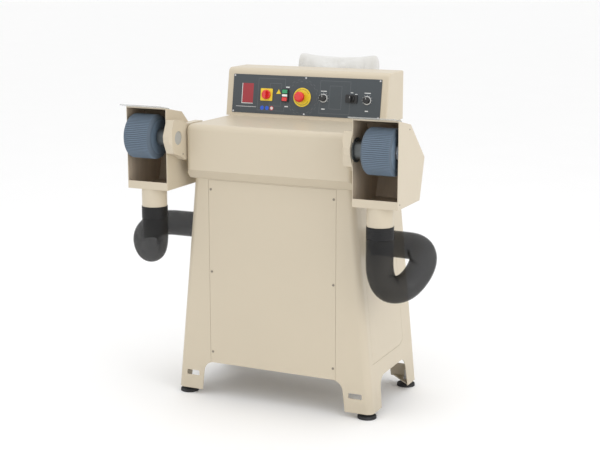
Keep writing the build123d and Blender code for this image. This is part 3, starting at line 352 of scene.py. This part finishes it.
def galvanised(name, base):
    """Zinc sheet with its spangle."""
    finish = Finish(name)
    spangle = finish.cells(70)
    fine = finish.noise(300, 4)
    finish.paint(finish.mix(spangle, shade(base, 0.8), shade(base, 1.2)))
    finish.set(Metallic=0.9, Roughness=0.33 + 0.25 * spangle)
    finish.bump(fine, 0.0002, 0.2)
    return finish.material


def plastic(name, base, rough=0.35, grain=0.00008, coat=0.0):
    """Moulded plastic: a fine spark-eroded grain and slightly uneven gloss."""
    finish = Finish(name)
    fine = finish.noise(2400, 2)
    slow = finish.noise(60, 3)
    finish.paint(finish.mix(slow, shade(base, 0.9), shade(base, 1.08)))
    finish.set(Roughness=rough + 0.1 * slow, Coat_Weight=coat, Coat_Roughness=0.12)
    finish.bump(fine, grain, 0.5)
    return finish.material


def rubber(name, base):
    finish = Finish(name)
    fine = finish.noise(1300, 4)
    dusty = finish.noise(30, 5, 0.6)
    finish.paint(finish.mix(finish.smooth(dusty, 0.45, 0.8), base, shade(base, 3.2)))
    finish.set(Roughness=0.62 + 0.25 * dusty)
    finish.bump(fine, 0.0002, 0.5)
    return finish.material


def drum_radius(finish):
    """Distance from the drums' common axis."""
    behind = finish.along((0, 1, 0), (0, AXIS_Y, 0))
    rise = finish.along((0, 0, 1), (0, 0, AXIS_Z))
    return finish.radius_from(behind, rise)


def drum_cover():
    """Blue-grey elastic sleeve: painted shade darkens the floors between the flutes, leaving the
    crests lighter; fine skin.
    """
    finish = Finish("fluted drum sleeve")
    radius = drum_radius(finish)
    unshaded_crest = finish.smooth(radius, FLUTE_FLOOR, FLUTE_CREST)
    skin = finish.noise(1500, 3, 0.6)
    patches = finish.noise(24, 5, 0.6)
    base = finish.mix(patches, shade(DRUM_BLUE, 0.88), shade(DRUM_BLUE, 1.12))
    # painted shade: the flute floors take a darker copy of the blue, the crests the plain blue
    finish.paint(finish.mix(unshaded_crest, shade(DRUM_BLUE, 0.62), base))
    finish.set(Roughness=0.50 + 0.14 * patches + 0.05 * skin)
    finish.bump(skin, 0.0002, 0.4)
    return finish.material


def drum_face():
    """Turned faces: tool rings about the drum's axis."""
    finish = Finish("turned drum hub")
    radius = drum_radius(finish)
    rings = finish.maths("SINE", radius * TOOL_RINGS)
    patches = finish.noise(35, 4)
    finish.paint(finish.mix(patches, shade(DRUM_BLUE, 0.9), shade(DRUM_BLUE, 1.25)))
    finish.set(Metallic=0.25, Roughness=0.38 + 0.12 * patches)
    finish.bump(rings, 0.00006, 0.35)
    return finish.material


def box_mask(x, s, left, right, low, high):
    """1 inside a rectangle on the control plate, in metres."""
    return (x > left) * (x < right) * (s > low) * (s < high)


def outline_mask(x, s, left, right, low, high):
    """1 on the outline of a rectangle."""
    outer = box_mask(x, s, left, right, low, high)
    left, right = left + FRAME_LINE, right - FRAME_LINE
    inner = box_mask(x, s, left, right, low + FRAME_LINE, high - FRAME_LINE)
    return outer * (1 - inner)


def panel_print():
    """Dark control plate with plain printed blocks, dots, ticks and faint construction lines."""
    finish = Finish("printed control plate")
    x = finish.along((1, 0, 0))
    s = finish.along(FACE_UP, PLATE_FOOT)
    slow = finish.noise(14, 4)
    fine = finish.noise(1700, 2)
    tone = finish.mix(slow, shade(PANEL_GREY, 0.93), shade(PANEL_GREY, 1.08))

    def away(place):
        """Radius about a place on the plate, and the two distances that make it."""
        across = x - place[0]
        up = s - place[1]
        return finish.radius_from(across, up), across, up

    # faint lines: a cogged ring round the stop button and square frames beside it
    ring, across, up = away(EMERGENCY)
    turn = finish.maths("ARCTAN2", up, across)
    cogs = finish.maths("SIGN", finish.maths("SINE", turn * COG_TEETH)) * COG_DEPTH
    lines = abs(ring - COG_RADIUS - cogs) < COG_LINE
    for corners in FAINT_FRAMES:
        lines = lines + outline_mask(x, s, *corners)
    tone = finish.mix(finish.maths("MINIMUM", lines, 1), tone, PANEL_LINE)
    tone = finish.mix(box_mask(x, s, *RED_BLOCK), tone, BLOCK_RED)
    white = box_mask(x, s, *LIGHT_BARS[0])
    for corners in LIGHT_BARS[1:]:
        white = white + box_mask(x, s, *corners)
    for place in SPEED_PLACES:
        ring, across, up = away(place)
        turn = finish.maths("ARCTAN2", up, across)
        ticks = finish.maths("COSINE", turn * TICKS) > TICK_START
        band = (ring > TICK_BAND[0]) * (ring < TICK_BAND[1])
        white = white + ticks * band * (up > TICK_FOOT)
    tone = finish.mix(finish.maths("MINIMUM", white, 1), tone, PRINT_WHITE)
    # plain caution triangle and the three round marks
    rise = s - TRIANGLE[1]
    half = (TRIANGLE_HEIGHT - rise) * TRIANGLE_SLOPE
    triangle = (rise > 0) * (abs(x - TRIANGLE[0]) < half)
    tone = finish.mix(triangle, tone, SIGN_YELLOW)
    for place, mark in ROUND_MARKS:
        tone = finish.mix(away(place)[0] < MARK_RADIUS, tone, mark)
    ring = away(ROUND_MARKS[-1][0])[0]
    tone = finish.mix((ring < MARK_INSIDE[1]) * (ring > MARK_INSIDE[0]), tone, PRINT_WHITE)
    finish.paint(tone)
    finish.set(Roughness=0.42 + 0.12 * slow)
    finish.bump(fine, 0.00006, 0.4)
    return finish.material


def stop_disc():
    """Yellow disc with two dashed dark arcs round its rim."""
    finish = Finish("yellow stop disc")
    x = finish.along((1, 0, 0), (EMERGENCY[0], 0, 0))
    s = finish.along(FACE_UP, PLATE_FOOT) - EMERGENCY[1]
    ring = finish.radius_from(x, s)
    turn = finish.maths("ARCTAN2", s, x)
    dash = finish.maths("COSINE", turn * DISC_DASHES) > DASH_START
    band = (ring > DISC_BAND[0]) * (ring < DISC_BAND[1])
    arcs = band * dash * (abs(s) > DISC_GAP)
    slow = finish.noise(60, 3)
    tone = finish.mix(slow, shade(SIGN_YELLOW, 0.92), shade(SIGN_YELLOW, 1.05))
    finish.paint(finish.mix(arcs * 0.8, tone, DISC_PRINT))
    finish.set(Roughness=0.38 + 0.1 * slow)
    finish.bump(finish.noise(2000, 2), 0.00006, 0.4)
    return finish.material


def clear_sheet():
    """Clear polycarbonate: mostly see-through, glossy, with light rub marks."""
    finish = Finish("clear visor")
    rub = finish.noise(55, 6, 0.7, (1, 4, 1))
    finish.paint(finish.mix(rub, (0.47, 0.49, 0.48), (0.54, 0.56, 0.55)))
    finish.set(Roughness=0.06 + 0.14 * finish.smooth(rub, 0.45, 0.75), IOR=1.58)
    finish.set(Alpha=0.46 + 0.06 * finish.smooth(rub, 0.5, 0.8))
    finish.bump(rub, 0.00008, 0.3)
    return finish.material


def hose_wall():
    """Smoked translucent hose, slightly dusty, with a solid cuff at its upper end."""
    finish = Finish("ribbed hose wall")
    fine = finish.noise(700, 4)
    dusty = finish.noise(11, 5, 0.6)
    cuff = finish.along((0, 0, 1)) > CUFF_FOOT
    tone = finish.mix(finish.smooth(dusty, 0.4, 0.8), HOSE_SMOKE, HOSE_DUST)
    finish.paint(finish.mix(cuff, tone, CUFF_BLACK))
    finish.set(Roughness=0.46 + 0.16 * dusty, IOR=1.42, Alpha=0.54 + 0.42 * cuff)
    finish.bump(fine, 0.0002, 0.35)
    return finish.material


def felt_cloth():
    """White filter felt: woven scrim showing faintly through short matted fibre."""
    finish = Finish("white filter felt")
    across = finish.along((1, 0.35, 0))
    up = finish.along((0, 0, 1))
    weft = finish.maths("SINE", up * 2 * pi / THREAD)
    warp = finish.maths("SINE", across * 2 * pi / THREAD)
    fibre = finish.noise(1400, 5, 0.7)
    slubs = finish.noise(260, 3, 0.6, (1, 1, 0.25))
    dust = finish.noise(7, 5, 0.55)
    tone = finish.mix(finish.smooth(dust, 0.35, 0.8), FELT_CLEAN, FELT_DUSTY)
    tone = finish.mix(slubs * 0.25, tone, FELT_SLUB)
    finish.paint(tone)
    finish.set(Roughness=0.86, Sheen_Weight=0.35, Sheen_Roughness=0.5)
    finish.bump(weft * 0.2 + warp * 0.2 + fibre * 0.5 + slubs * 0.4, 0.0006, 0.5)
    return finish.material


def lens():
    finish = Finish("white lamp lens")
    x = finish.along((1, 0, 0))
    ribs = finish.maths("SINE", x * 2 * pi / LENS_RIB)
    finish.paint((0.86, 0.86, 0.83))
    finish.set(Roughness=0.2 + 0.02 * ribs, Coat_Weight=0.5)
    finish.bump(ribs, 0.0001, 0.5)
    return finish.material


CREAM_PAINT = cream_paint()
HOOD_PAINT = hood_paint()
ZINC = metal("zinc plated steel", STEEL, 0.30)
TURNED = metal("turned steel", (0.50, 0.50, 0.52), 0.24, (0.12, 1, 1))
DARK_METAL = metal("dark satin steel", DARK_STEEL, 0.36, metallic=0.75)
SCREW_METAL = metal("browned screw steel", (0.26, 0.23, 0.19), 0.40, metallic=0.5)
NOSE_METAL = metal("oiled bearing steel", (0.125, 0.135, 0.135), 0.30, (0.15, 1, 1), 0.8)
MOTOR_PAINT = plastic("dark grey motor enamel", (0.045, 0.048, 0.055), 0.40, 0.0002)
DUCT = galvanised("galvanised duct", (0.42, 0.43, 0.44))
DRUM_COVER = drum_cover()
DRUM_FACE = drum_face()
PULLEY = metal("aluminium pulley", (0.60, 0.61, 0.62), 0.30, (0.2, 1, 1))
PANEL = panel_print()
BLACK_PLASTIC = plastic("black moulding", BLACK, 0.34)
RED_PLASTIC = plastic("red moulding", RED, 0.26, coat=0.35)
GREEN_PLASTIC = plastic("green moulding", (0.010, 0.30, 0.12), 0.28, coat=0.3)
YELLOW_PLASTIC = plastic("yellow moulding", SIGN_YELLOW, 0.36)
STOP_DISC = stop_disc()
LENS = lens()
RING = plastic("light dial ring", (0.62, 0.63, 0.63), 0.35)
PLUG = plastic("grey plug", (0.40, 0.40, 0.38), 0.42)
VISOR = clear_sheet()
BLACK_RUBBER = rubber("black rubber", (0.016, 0.016, 0.017))
HOSE = hose_wall()
FELT = felt_cloth()

NODE_FINISHES = {
    "cabinet_shell": CREAM_PAINT,
    "front_panel": CREAM_PAINT,
    "rear_panel": CREAM_PAINT,
    "right_side_panel": CREAM_PAINT,
    "left_side_panel": CREAM_PAINT,
    "head_casing": CREAM_PAINT,
    "console_housing": CREAM_PAINT,
    "right_arm_housing": CREAM_PAINT,
    "left_arm_housing": CREAM_PAINT,
    "right_hood": HOOD_PAINT,
    "left_hood": HOOD_PAINT,
    "housing_screws": SCREW_METAL,
    "foot_plates": CREAM_PAINT,
    "foot_fasteners": ZINC,
    "control_plate_screws": ZINC,
    "spindle_bearings": TURNED,
    "right_spindle": TURNED,
    "left_spindle": TURNED,
    "right_drum_nut": ZINC,
    "left_drum_nut": ZINC,
    "bag_strap": ZINC,
    "suction_duct": DUCT,
    "outlet_duct": DUCT,
    "fan_housing": DUCT,
    "fan_impeller": PULLEY,
    "bearing_noses": NOSE_METAL,
    "hose_inlets": DARK_METAL,
    "drive_motors": MOTOR_PAINT,
    "fan_motor": MOTOR_PAINT,
    "right_drum_sleeve": DRUM_COVER,
    "left_drum_sleeve": DRUM_COVER,
    "right_drum_hub": DRUM_FACE,
    "left_drum_hub": DRUM_FACE,
    "right_spindle_pulley": PULLEY,
    "left_spindle_pulley": PULLEY,
    "right_motor_pulley": PULLEY,
    "left_motor_pulley": PULLEY,
    "control_plate": PANEL,
    "right_speed_knob": BLACK_PLASTIC,
    "left_speed_knob": BLACK_PLASTIC,
    "selector_knob": BLACK_PLASTIC,
    "selector_bezel": BLACK_PLASTIC,
    "pushbutton_bezel": BLACK_PLASTIC,
    "speed_drives": BLACK_PLASTIC,
    "cable_gland": BLACK_PLASTIC,
    "emergency_button": RED_PLASTIC,
    "stop_button": RED_PLASTIC,
    "main_switch_knob": RED_PLASTIC,
    "start_button": GREEN_PLASTIC,
    "indicator_lens": LENS,
    "emergency_disc": STOP_DISC,
    "main_switch_plate": YELLOW_PLASTIC,
    "speed_rings": RING,
    "arm_plugs": PLUG,
    "visors": VISOR,
    "levelling_feet": BLACK_RUBBER,
    "drive_belts": BLACK_RUBBER,
}

for node, material in NODE_FINISHES.items():
    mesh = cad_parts[node].data
    mesh.materials.clear()
    mesh.materials.append(material)


# ------------------------------------------------------------------ making pieces
def piece(name, mesh_maker, material, body=BODY, smooth=True):
    """Turn a bmesh into a finished object that rides on a body."""
    mesh = bpy.data.meshes.new(name)
    mesh_maker.to_mesh(mesh)
    mesh_maker.free()
    made = bpy.data.objects.new(name, mesh)
    bpy.context.scene.collection.objects.link(made)
    mesh.materials.append(material)
    if smooth:
        mesh.shade_smooth()
    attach(made, body)
    return made


def loft(rings):
    """Roll a grid into a tube and lay its rows on rings, each a list of points round the tube.
    The ends stay open."""
    skin = bmesh.new()
    columns = len(rings[0])
    rows = len(rings) - 1
    grid = bmesh.ops.create_grid(skin, x_segments=columns, y_segments=rows, size=1)["verts"]
    for vertex in grid:
        column = round((vertex.co.x + 1) / 2 * columns)
        row = round((vertex.co.y + 1) / 2 * rows)
        vertex.co = rings[row][column % columns]
    bmesh.ops.remove_doubles(skin, verts=skin.verts, dist=1e-6)
    bmesh.ops.recalc_face_normals(skin, faces=skin.faces)
    return skin


def close_ends(skin):
    """Fill the open rims, triangulated so that a dished rim stays clean."""
    rims = [edge for edge in skin.edges if edge.is_boundary]
    filled = bmesh.ops.holes_fill(skin, edges=rims, sides=0)["faces"]
    bmesh.ops.triangulate(skin, faces=filled)
    bmesh.ops.recalc_face_normals(skin, faces=skin.faces)


def wall(made, thickness):
    """Give an open skin its sheet thickness, inwards."""
    modifier = made.modifiers.new("wall", "SOLIDIFY")
    modifier.thickness = thickness
    modifier.offset = -1


def transform(skin, matrix):
    bmesh.ops.transform(skin, matrix=matrix, verts=skin.verts)


# ------------------------------------------------------------------ dust hoses
HOSE_RADIUS = 0.049
HOSE_WALL = 0.0025
RIB_PITCH = 0.0072
RIB_SINK = 0.0011
RIB_ROWS = (0.0, 0.35, 1.0, 0.35)     # sink at the quarters of a rib
HOSE_SIDES = 56
HOSE_ROUTES = {
    "right": (
        (0.4525, -0.341, 0.742),
        (0.4525, -0.341, 0.655),
        (0.452, -0.341, 0.572),
        (0.473, -0.321, 0.512),
        (0.520, -0.276, 0.508),
        (0.553, -0.228, 0.552),
        (0.560, -0.176, 0.602),
        (0.524, -0.134, 0.633),
        (0.450, -0.128, 0.634),
        (0.365, -0.128, 0.634),
    ),
    "left": (
        (-0.4525, -0.341, 0.742),
        (-0.4525, -0.341, 0.682),
        (-0.452, -0.341, 0.618),
        (-0.474, -0.320, 0.567),
        (-0.523, -0.278, 0.557),
        (-0.568, -0.230, 0.588),
        (-0.574, -0.178, 0.616),
        (-0.532, -0.136, 0.635),
        (-0.450, -0.128, 0.634),
        (-0.365, -0.128, 0.634),
    ),
}


def smooth_line(route):
    """Points along the NURBS line that a route controls."""
    data = bpy.data.curves.new("route", "CURVE")
    data.dimensions = "3D"
    data.resolution_u = 40
    spline = data.splines.new("NURBS")
    spline.points.add(len(route) - 1)
    for point, place in zip(spline.points, route):
        point.co = (*place, 1)
    spline.order_u = 3
    spline.use_endpoint_u = True
    guide = bpy.data.objects.new("route", data)
    mesh = bpy.data.meshes.new_from_object(guide)
    points = [vertex.co.copy() for vertex in mesh.vertices]
    bpy.data.objects.remove(guide)
    bpy.data.curves.remove(data)
    bpy.data.meshes.remove(mesh)
    return points


def even_steps(points, step):
    """The same line with points a whole number of steps apart, and its length."""
    lengths = [0.0]
    for before, after in zip(points, points[1:]):
        lengths.append(lengths[-1] + (after - before).length)
    count = round(lengths[-1] / step)
    spaced = []
    at = 0
    for index in range(count + 1):
        goal = lengths[-1] * index / count
        while at < len(points) - 2 and lengths[at + 1] < goal:
            at += 1
        share = (goal - lengths[at]) / (lengths[at + 1] - lengths[at])
        spaced.append(points[at].lerp(points[at + 1], min(max(share, 0), 1)))
    return spaced, lengths[-1]


def make_hose(side, route):
    line, length = even_steps(smooth_line(route), RIB_PITCH / len(RIB_ROWS))
    rings = []
    normal = Vector((0, 1, 0))
    for index, centre in enumerate(line):
        ahead = line[min(index + 1, len(line) - 1)] - line[max(index - 1, 0)]
        ahead.normalize()
        normal = (normal - ahead * normal.dot(ahead)).normalized()
        across = ahead.cross(normal)
        radius = HOSE_RADIUS - RIB_SINK * RIB_ROWS[index % len(RIB_ROWS)]
        turns = [2 * pi * step / HOSE_SIDES for step in range(HOSE_SIDES)]
        rings.append([centre + radius * (cos(t) * normal + sin(t) * across) for t in turns])
    hose = piece(f"{side}_dust_hose", loft(rings), HOSE)
    wall(hose, HOSE_WALL)
    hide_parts(f"{side}_hose")


for hose_side, hose_route in HOSE_ROUTES.items():
    make_hose(hose_side, hose_route)


# ------------------------------------------------------------------ filter bag
BAG_Y = 0.339
BAG_FOOT = 0.600
BAG_BODY_TOP = 1.283
BAG_SIDES = 72
BAG_ROWS = 60
BAG_VOXEL = 0.0065
BAG_ROUND = 0.72                # how square the bag's section is: 1 is an ellipse
BAG_FOOT_ROUND = 0.9
BAG_FOOT_SHARE = 0.06
TOP_DIP = 0.007                 # sag of the top between its two corners
CLOTH_PRESSURE = 4.0
SWELL_LIMIT = 0.014
SWELL_STEPS = 20
GATHER_TOP = 0.20               # share of the height that the gathers run down from the top
GATHER_FOOT = 0.22
TOP_GATHER = 0.0042
FOOT_GATHER = 0.0030
NECK_FOOT = 0.5605
NECK_HEIGHT = 0.046
NECK_ROWS = 24
NECK_SIDES = 144
NECK_RADIUS = 0.0612
NECK_CLOTH = 0.0008
PLEATS = 26
PLEAT_DEPTH = 0.0010
STRAP_MIDDLE = 0.5775
STRAP_REACH = 0.012
STRAP_PRESS = 0.9               # share of the pleats that the strap presses flat
# height share, half width, half thickness
BAG_SHAPE = (
    (0.000, 0.066, 0.064),
    (0.020, 0.095, 0.072),
    (0.060, 0.140, 0.078),
    (0.120, 0.162, 0.084),
    (0.300, 0.170, 0.088),
    (0.600, 0.171, 0.088),
    (0.820, 0.175, 0.080),
    (0.925, 0.178, 0.066),
    (0.975, 0.176, 0.048),
    (1.000, 0.168, 0.026),
)


def bag_size(share):
    """Half width and half thickness at a share of the height."""
    for low, high in zip(BAG_SHAPE, BAG_SHAPE[1:]):
        if share <= high[0]:
            part = (share - low[0]) / (high[0] - low[0])
            return tuple(low[i] + (high[i] - low[i]) * part for i in (1, 2))
    return BAG_SHAPE[-1][1:]


def bag_ring(share):
    """A pillow's section: round-cornered at the middle, flatter towards the top seam."""
    width, thick = bag_size(share)
    power = BAG_ROUND if share > BAG_FOOT_SHARE else BAG_FOOT_ROUND
    ring = []
    for step in range(BAG_SIDES):
        turn = 2 * pi * step / BAG_SIDES
        x = width * abs(cos(turn)) ** power * (1 if cos(turn) > 0 else -1)
        y = thick * abs(sin(turn)) ** power * (1 if sin(turn) > 0 else -1)
        dip = TOP_DIP * share**6 * (1 - (x / width) ** 2)
        ring.append(Vector((x, BAG_Y + y, BAG_FOOT + (BAG_BODY_TOP - BAG_FOOT) * share - dip)))
    return ring


def inflate(made):
    """Let cloth swell from the inside, hold it near its sewn shape, and keep the result."""
    scene = bpy.context.scene
    sewn = [vertex.co.copy() for vertex in made.data.vertices]
    cloth = made.modifiers.new("cloth", "CLOTH")
    cloth.settings.quality = 5
    cloth.settings.mass = 0.25
    cloth.settings.tension_stiffness = 12
    cloth.settings.compression_stiffness = 12
    cloth.settings.bending_stiffness = 0.4
    cloth.settings.use_pressure = True
    cloth.settings.uniform_pressure_force = CLOTH_PRESSURE
    cloth.settings.effector_weights.gravity = 0
    cloth.point_cache.frame_start = 1
    cloth.point_cache.frame_end = SWELL_STEPS
    for number in range(1, SWELL_STEPS + 1):
        scene.frame_set(number)
    swollen = made.evaluated_get(bpy.context.evaluated_depsgraph_get()).to_mesh()
    moved = [vertex.co.copy() for vertex in swollen.vertices]
    made.modifiers.remove(cloth)
    scene.frame_set(1)
    for vertex, start, end in zip(made.data.vertices, sewn, moved):
        step = end - start
        if step.length > SWELL_LIMIT:
            step *= SWELL_LIMIT / step.length
        vertex.co = start + step


def puckers(point):
    """Gathers running down from the top seam and up from the tied foot, by height and place."""
    share = (point.z - BAG_FOOT) / (BAG_BODY_TOP - BAG_FOOT)
    top = max(0, (share - (1 - GATHER_TOP)) / GATHER_TOP)
    foot = max(0, (GATHER_FOOT - share) / GATHER_FOOT)
    waves = sin(point.x * 155 + 1.7 * sin(point.x * 41))
    gathers = sin(280 * (point.x + 0.6 * point.y))
    return waves * TOP_GATHER * top**1.5 * (1 - top) * 4 + gathers * FOOT_GATHER * foot


def make_bag():
    skin = loft([bag_ring(row / BAG_ROWS) for row in range(BAG_ROWS + 1)])
    close_ends(skin)
    bag = piece("filter_bag_cloth", skin, FELT)
    remesh = bag.modifiers.new("remesh", "REMESH")
    remesh.mode = "VOXEL"
    remesh.voxel_size = BAG_VOXEL
    depsgraph = bpy.context.evaluated_depsgraph_get()
    even = bpy.data.meshes.new_from_object(bag.evaluated_get(depsgraph))
    bag.modifiers.remove(remesh)
    bag.data = even
    inflate(bag)
    for vertex in even.vertices:
        side = 1 if vertex.co.y > BAG_Y else -1
        vertex.co.y += side * puckers(vertex.co)
        vertex.co.z = max(vertex.co.z, BAG_FOOT + 0.001)
    even.shade_smooth()
    smooth = bag.modifiers.new("settle", "SMOOTH")
    smooth.iterations = 3
    finer = bag.modifiers.new("finer", "SUBSURF")
    finer.levels = 1
    finer.render_levels = 1
    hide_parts("filter_bag")


def make_bag_neck():
    """The tied neck over the duct, gathered under its strap."""
    turns = [2 * pi * step / NECK_SIDES for step in range(NECK_SIDES)]
    rings = []
    for step in range(NECK_ROWS + 1):
        height = NECK_FOOT + NECK_HEIGHT * (step / NECK_ROWS)
        tied = 1 - STRAP_PRESS * max(0, 1 - abs(height - STRAP_MIDDLE) / STRAP_REACH)
        ring = []
        for turn in turns:
            radius = NECK_RADIUS + (PLEAT_DEPTH + PLEAT_DEPTH * sin(turn * PLEATS)) * tied
            ring.append(Vector((radius * cos(turn), BAG_Y + radius * sin(turn), height)))
        rings.append(ring)
    neck = piece("filter_bag_neck", loft(rings), FELT)
    wall(neck, NECK_CLOTH)


make_bag()
make_bag_neck()


# ------------------------------------------------------------------ small fixings
def dome(radius, height):
    """A low domed screw head standing on the XY plane, with a round sunk recess."""
    head = bmesh.new()
    bmesh.ops.create_cone(
        head,
        cap_ends=True,
        segments=24,
        radius1=radius,
        radius2=radius * 0.72,
        depth=height,
    )
    bmesh.ops.translate(head, vec=(0, 0, height / 2), verts=head.verts)
    top = max(head.faces, key=lambda face: face.calc_center_median().z)
    bmesh.ops.inset_individual(head, faces=[top], thickness=radius * 0.34, depth=-height * 0.35)
    bmesh.ops.recalc_face_normals(head, faces=head.faces)
    return head


def turned_to(direction, place):
    """Matrix that stands a Z-up shape at a place, facing a direction."""
    turn = Vector(direction).to_track_quat("Z", "Y").to_matrix().to_4x4()
    return Matrix.Translation(place) @ turn


def join(parts):
    whole = bmesh.new()
    for part in parts:
        mesh = bpy.data.meshes.new("part")
        part.to_mesh(mesh)
        part.free()
        whole.from_mesh(mesh)
        bpy.data.meshes.remove(mesh)
    return whole


def fixings(name, places, radius, height):
    """Screw heads at places, each with the direction that it faces, as one piece."""
    heads = []
    for place, direction in places:
        head = dome(radius, height)
        transform(head, turned_to(direction, place))
        heads.append(head)
    piece(name, join(heads), SCREW_METAL, smooth=False)


HOOD_SCREW_PLACES = ((-0.285, 1.076), (-0.372, 0.828))
ARM_FACE = 0.335
ARM_SCREW_PLACE = (-0.326, 0.942)
HOOD_SCREWS = [
    ((side * HOOD_OUTER, y, z), (side, 0, 0)) for side in (-1, 1) for y, z in HOOD_SCREW_PLACES
]
ARM_SCREWS = [((side * ARM_FACE, *ARM_SCREW_PLACE), (-side, 0, 0)) for side in (-1, 1)]
fixings("hood_screws", HOOD_SCREWS, 0.0028, 0.0012)
fixings("arm_screws", ARM_SCREWS, 0.0030, 0.0014)


# ------------------------------------------------------------------ knob pointers
def on_plate(x, s, height):
    """A point above the control plate, from the plate's lower edge."""
    up = Vector(FACE_UP) * s
    out = Vector(FACE_OUT) * (PLATE_THICK + height)
    return Vector(PLATE_FOOT) + Vector((x, 0, 0)) + up + out


def pointer(name, place, height, start, end, body):
    """A painted index line let into the front of a knob."""
    line = bmesh.new()
    bmesh.ops.create_cube(line, size=1)
    bmesh.ops.scale(line, vec=(POINTER_WIDTH, end - start, POINTER_HEIGHT), verts=line.verts)
    bmesh.ops.translate(line, vec=(0, (start + end) / 2, 0), verts=line.verts)
    bmesh.ops.bevel(
        line,
        geom=line.edges,
        offset=0.0001,
        segments=2,
        profile=0.5,
        affect="EDGES",
        material=-1,
    )
    turn = Matrix((
        (1, 0, 0, 0),
        (0, FACE_UP[1], FACE_OUT[1], 0),
        (0, FACE_UP[2], FACE_OUT[2], 0),
        (0, 0, 0, 1),
    ))
    transform(line, Matrix.Translation(on_plate(*place, height)) @ turn)
    piece(name, line, RING, body, smooth=False)


POINTER_WIDTH = 0.0014
POINTER_HEIGHT = 0.0006
KNOB_FACE = 0.0153
SELECTOR_FACE = 0.0213
pointer("left_speed_pointer", SPEED_PLACES[0], KNOB_FACE, 0.003, 0.0105, "left_speed")
pointer("right_speed_pointer", SPEED_PLACES[1], KNOB_FACE, 0.003, 0.0105, "right_speed")
pointer("selector_pointer", SELECTOR_PLACE, SELECTOR_FACE, 0.002, 0.009, "selector")


# ------------------------------------------------------------------ floor and light
WORLD_LIGHT = 1.0
MACHINE_MIDDLE = (0, 0, 0.7)
FLOOR_REACH = 90


def make_stage():
    ground = bmesh.new()
    bmesh.ops.create_grid(ground, x_segments=8, y_segments=8, size=FLOOR_REACH)
    mesh = bpy.data.meshes.new("studio_floor")
    ground.to_mesh(mesh)
    ground.free()
    floor = bpy.data.objects.new("studio_floor", mesh)
    bpy.context.scene.collection.objects.link(floor)
    finish = Finish("pale floor")
    slow = finish.noise(1.5, 3)
    finish.paint(finish.mix(slow, (0.955, 0.955, 0.955), (0.975, 0.975, 0.975)))
    finish.set(Roughness=0.7 + 0.1 * slow)
    mesh.materials.append(finish.material)
    world = bpy.data.worlds.new("studio")
    world.use_nodes = True
    backdrop = world.node_tree.nodes["Background"]
    backdrop.inputs["Color"].default_value = (1.0, 1.0, 1.0, 1)
    backdrop.inputs["Strength"].default_value = WORLD_LIGHT
    bpy.context.scene.world = world


def soft_light(name, place, size, power):
    """A square area light that faces the machine."""
    data = bpy.data.lights.new(name, "AREA")
    data.size = size
    data.energy = power
    lamp = bpy.data.objects.new(name, data)
    lamp.location = place
    away = Vector(place) - Vector(MACHINE_MIDDLE)
    lamp.rotation_euler = away.to_track_quat("Z", "Y").to_euler()
    bpy.context.scene.collection.objects.link(lamp)


make_stage()
soft_light("overhead", (0.3, -0.6, 4.2), 3.0, 24)
soft_light("right_side", (4.0, -1.6, 2.2), 2.5, 32)
soft_light("front_left", (-2.6, -3.8, 2.4), 2.0, 8)
bpy.context.scene.view_settings.view_transform = "Standard"
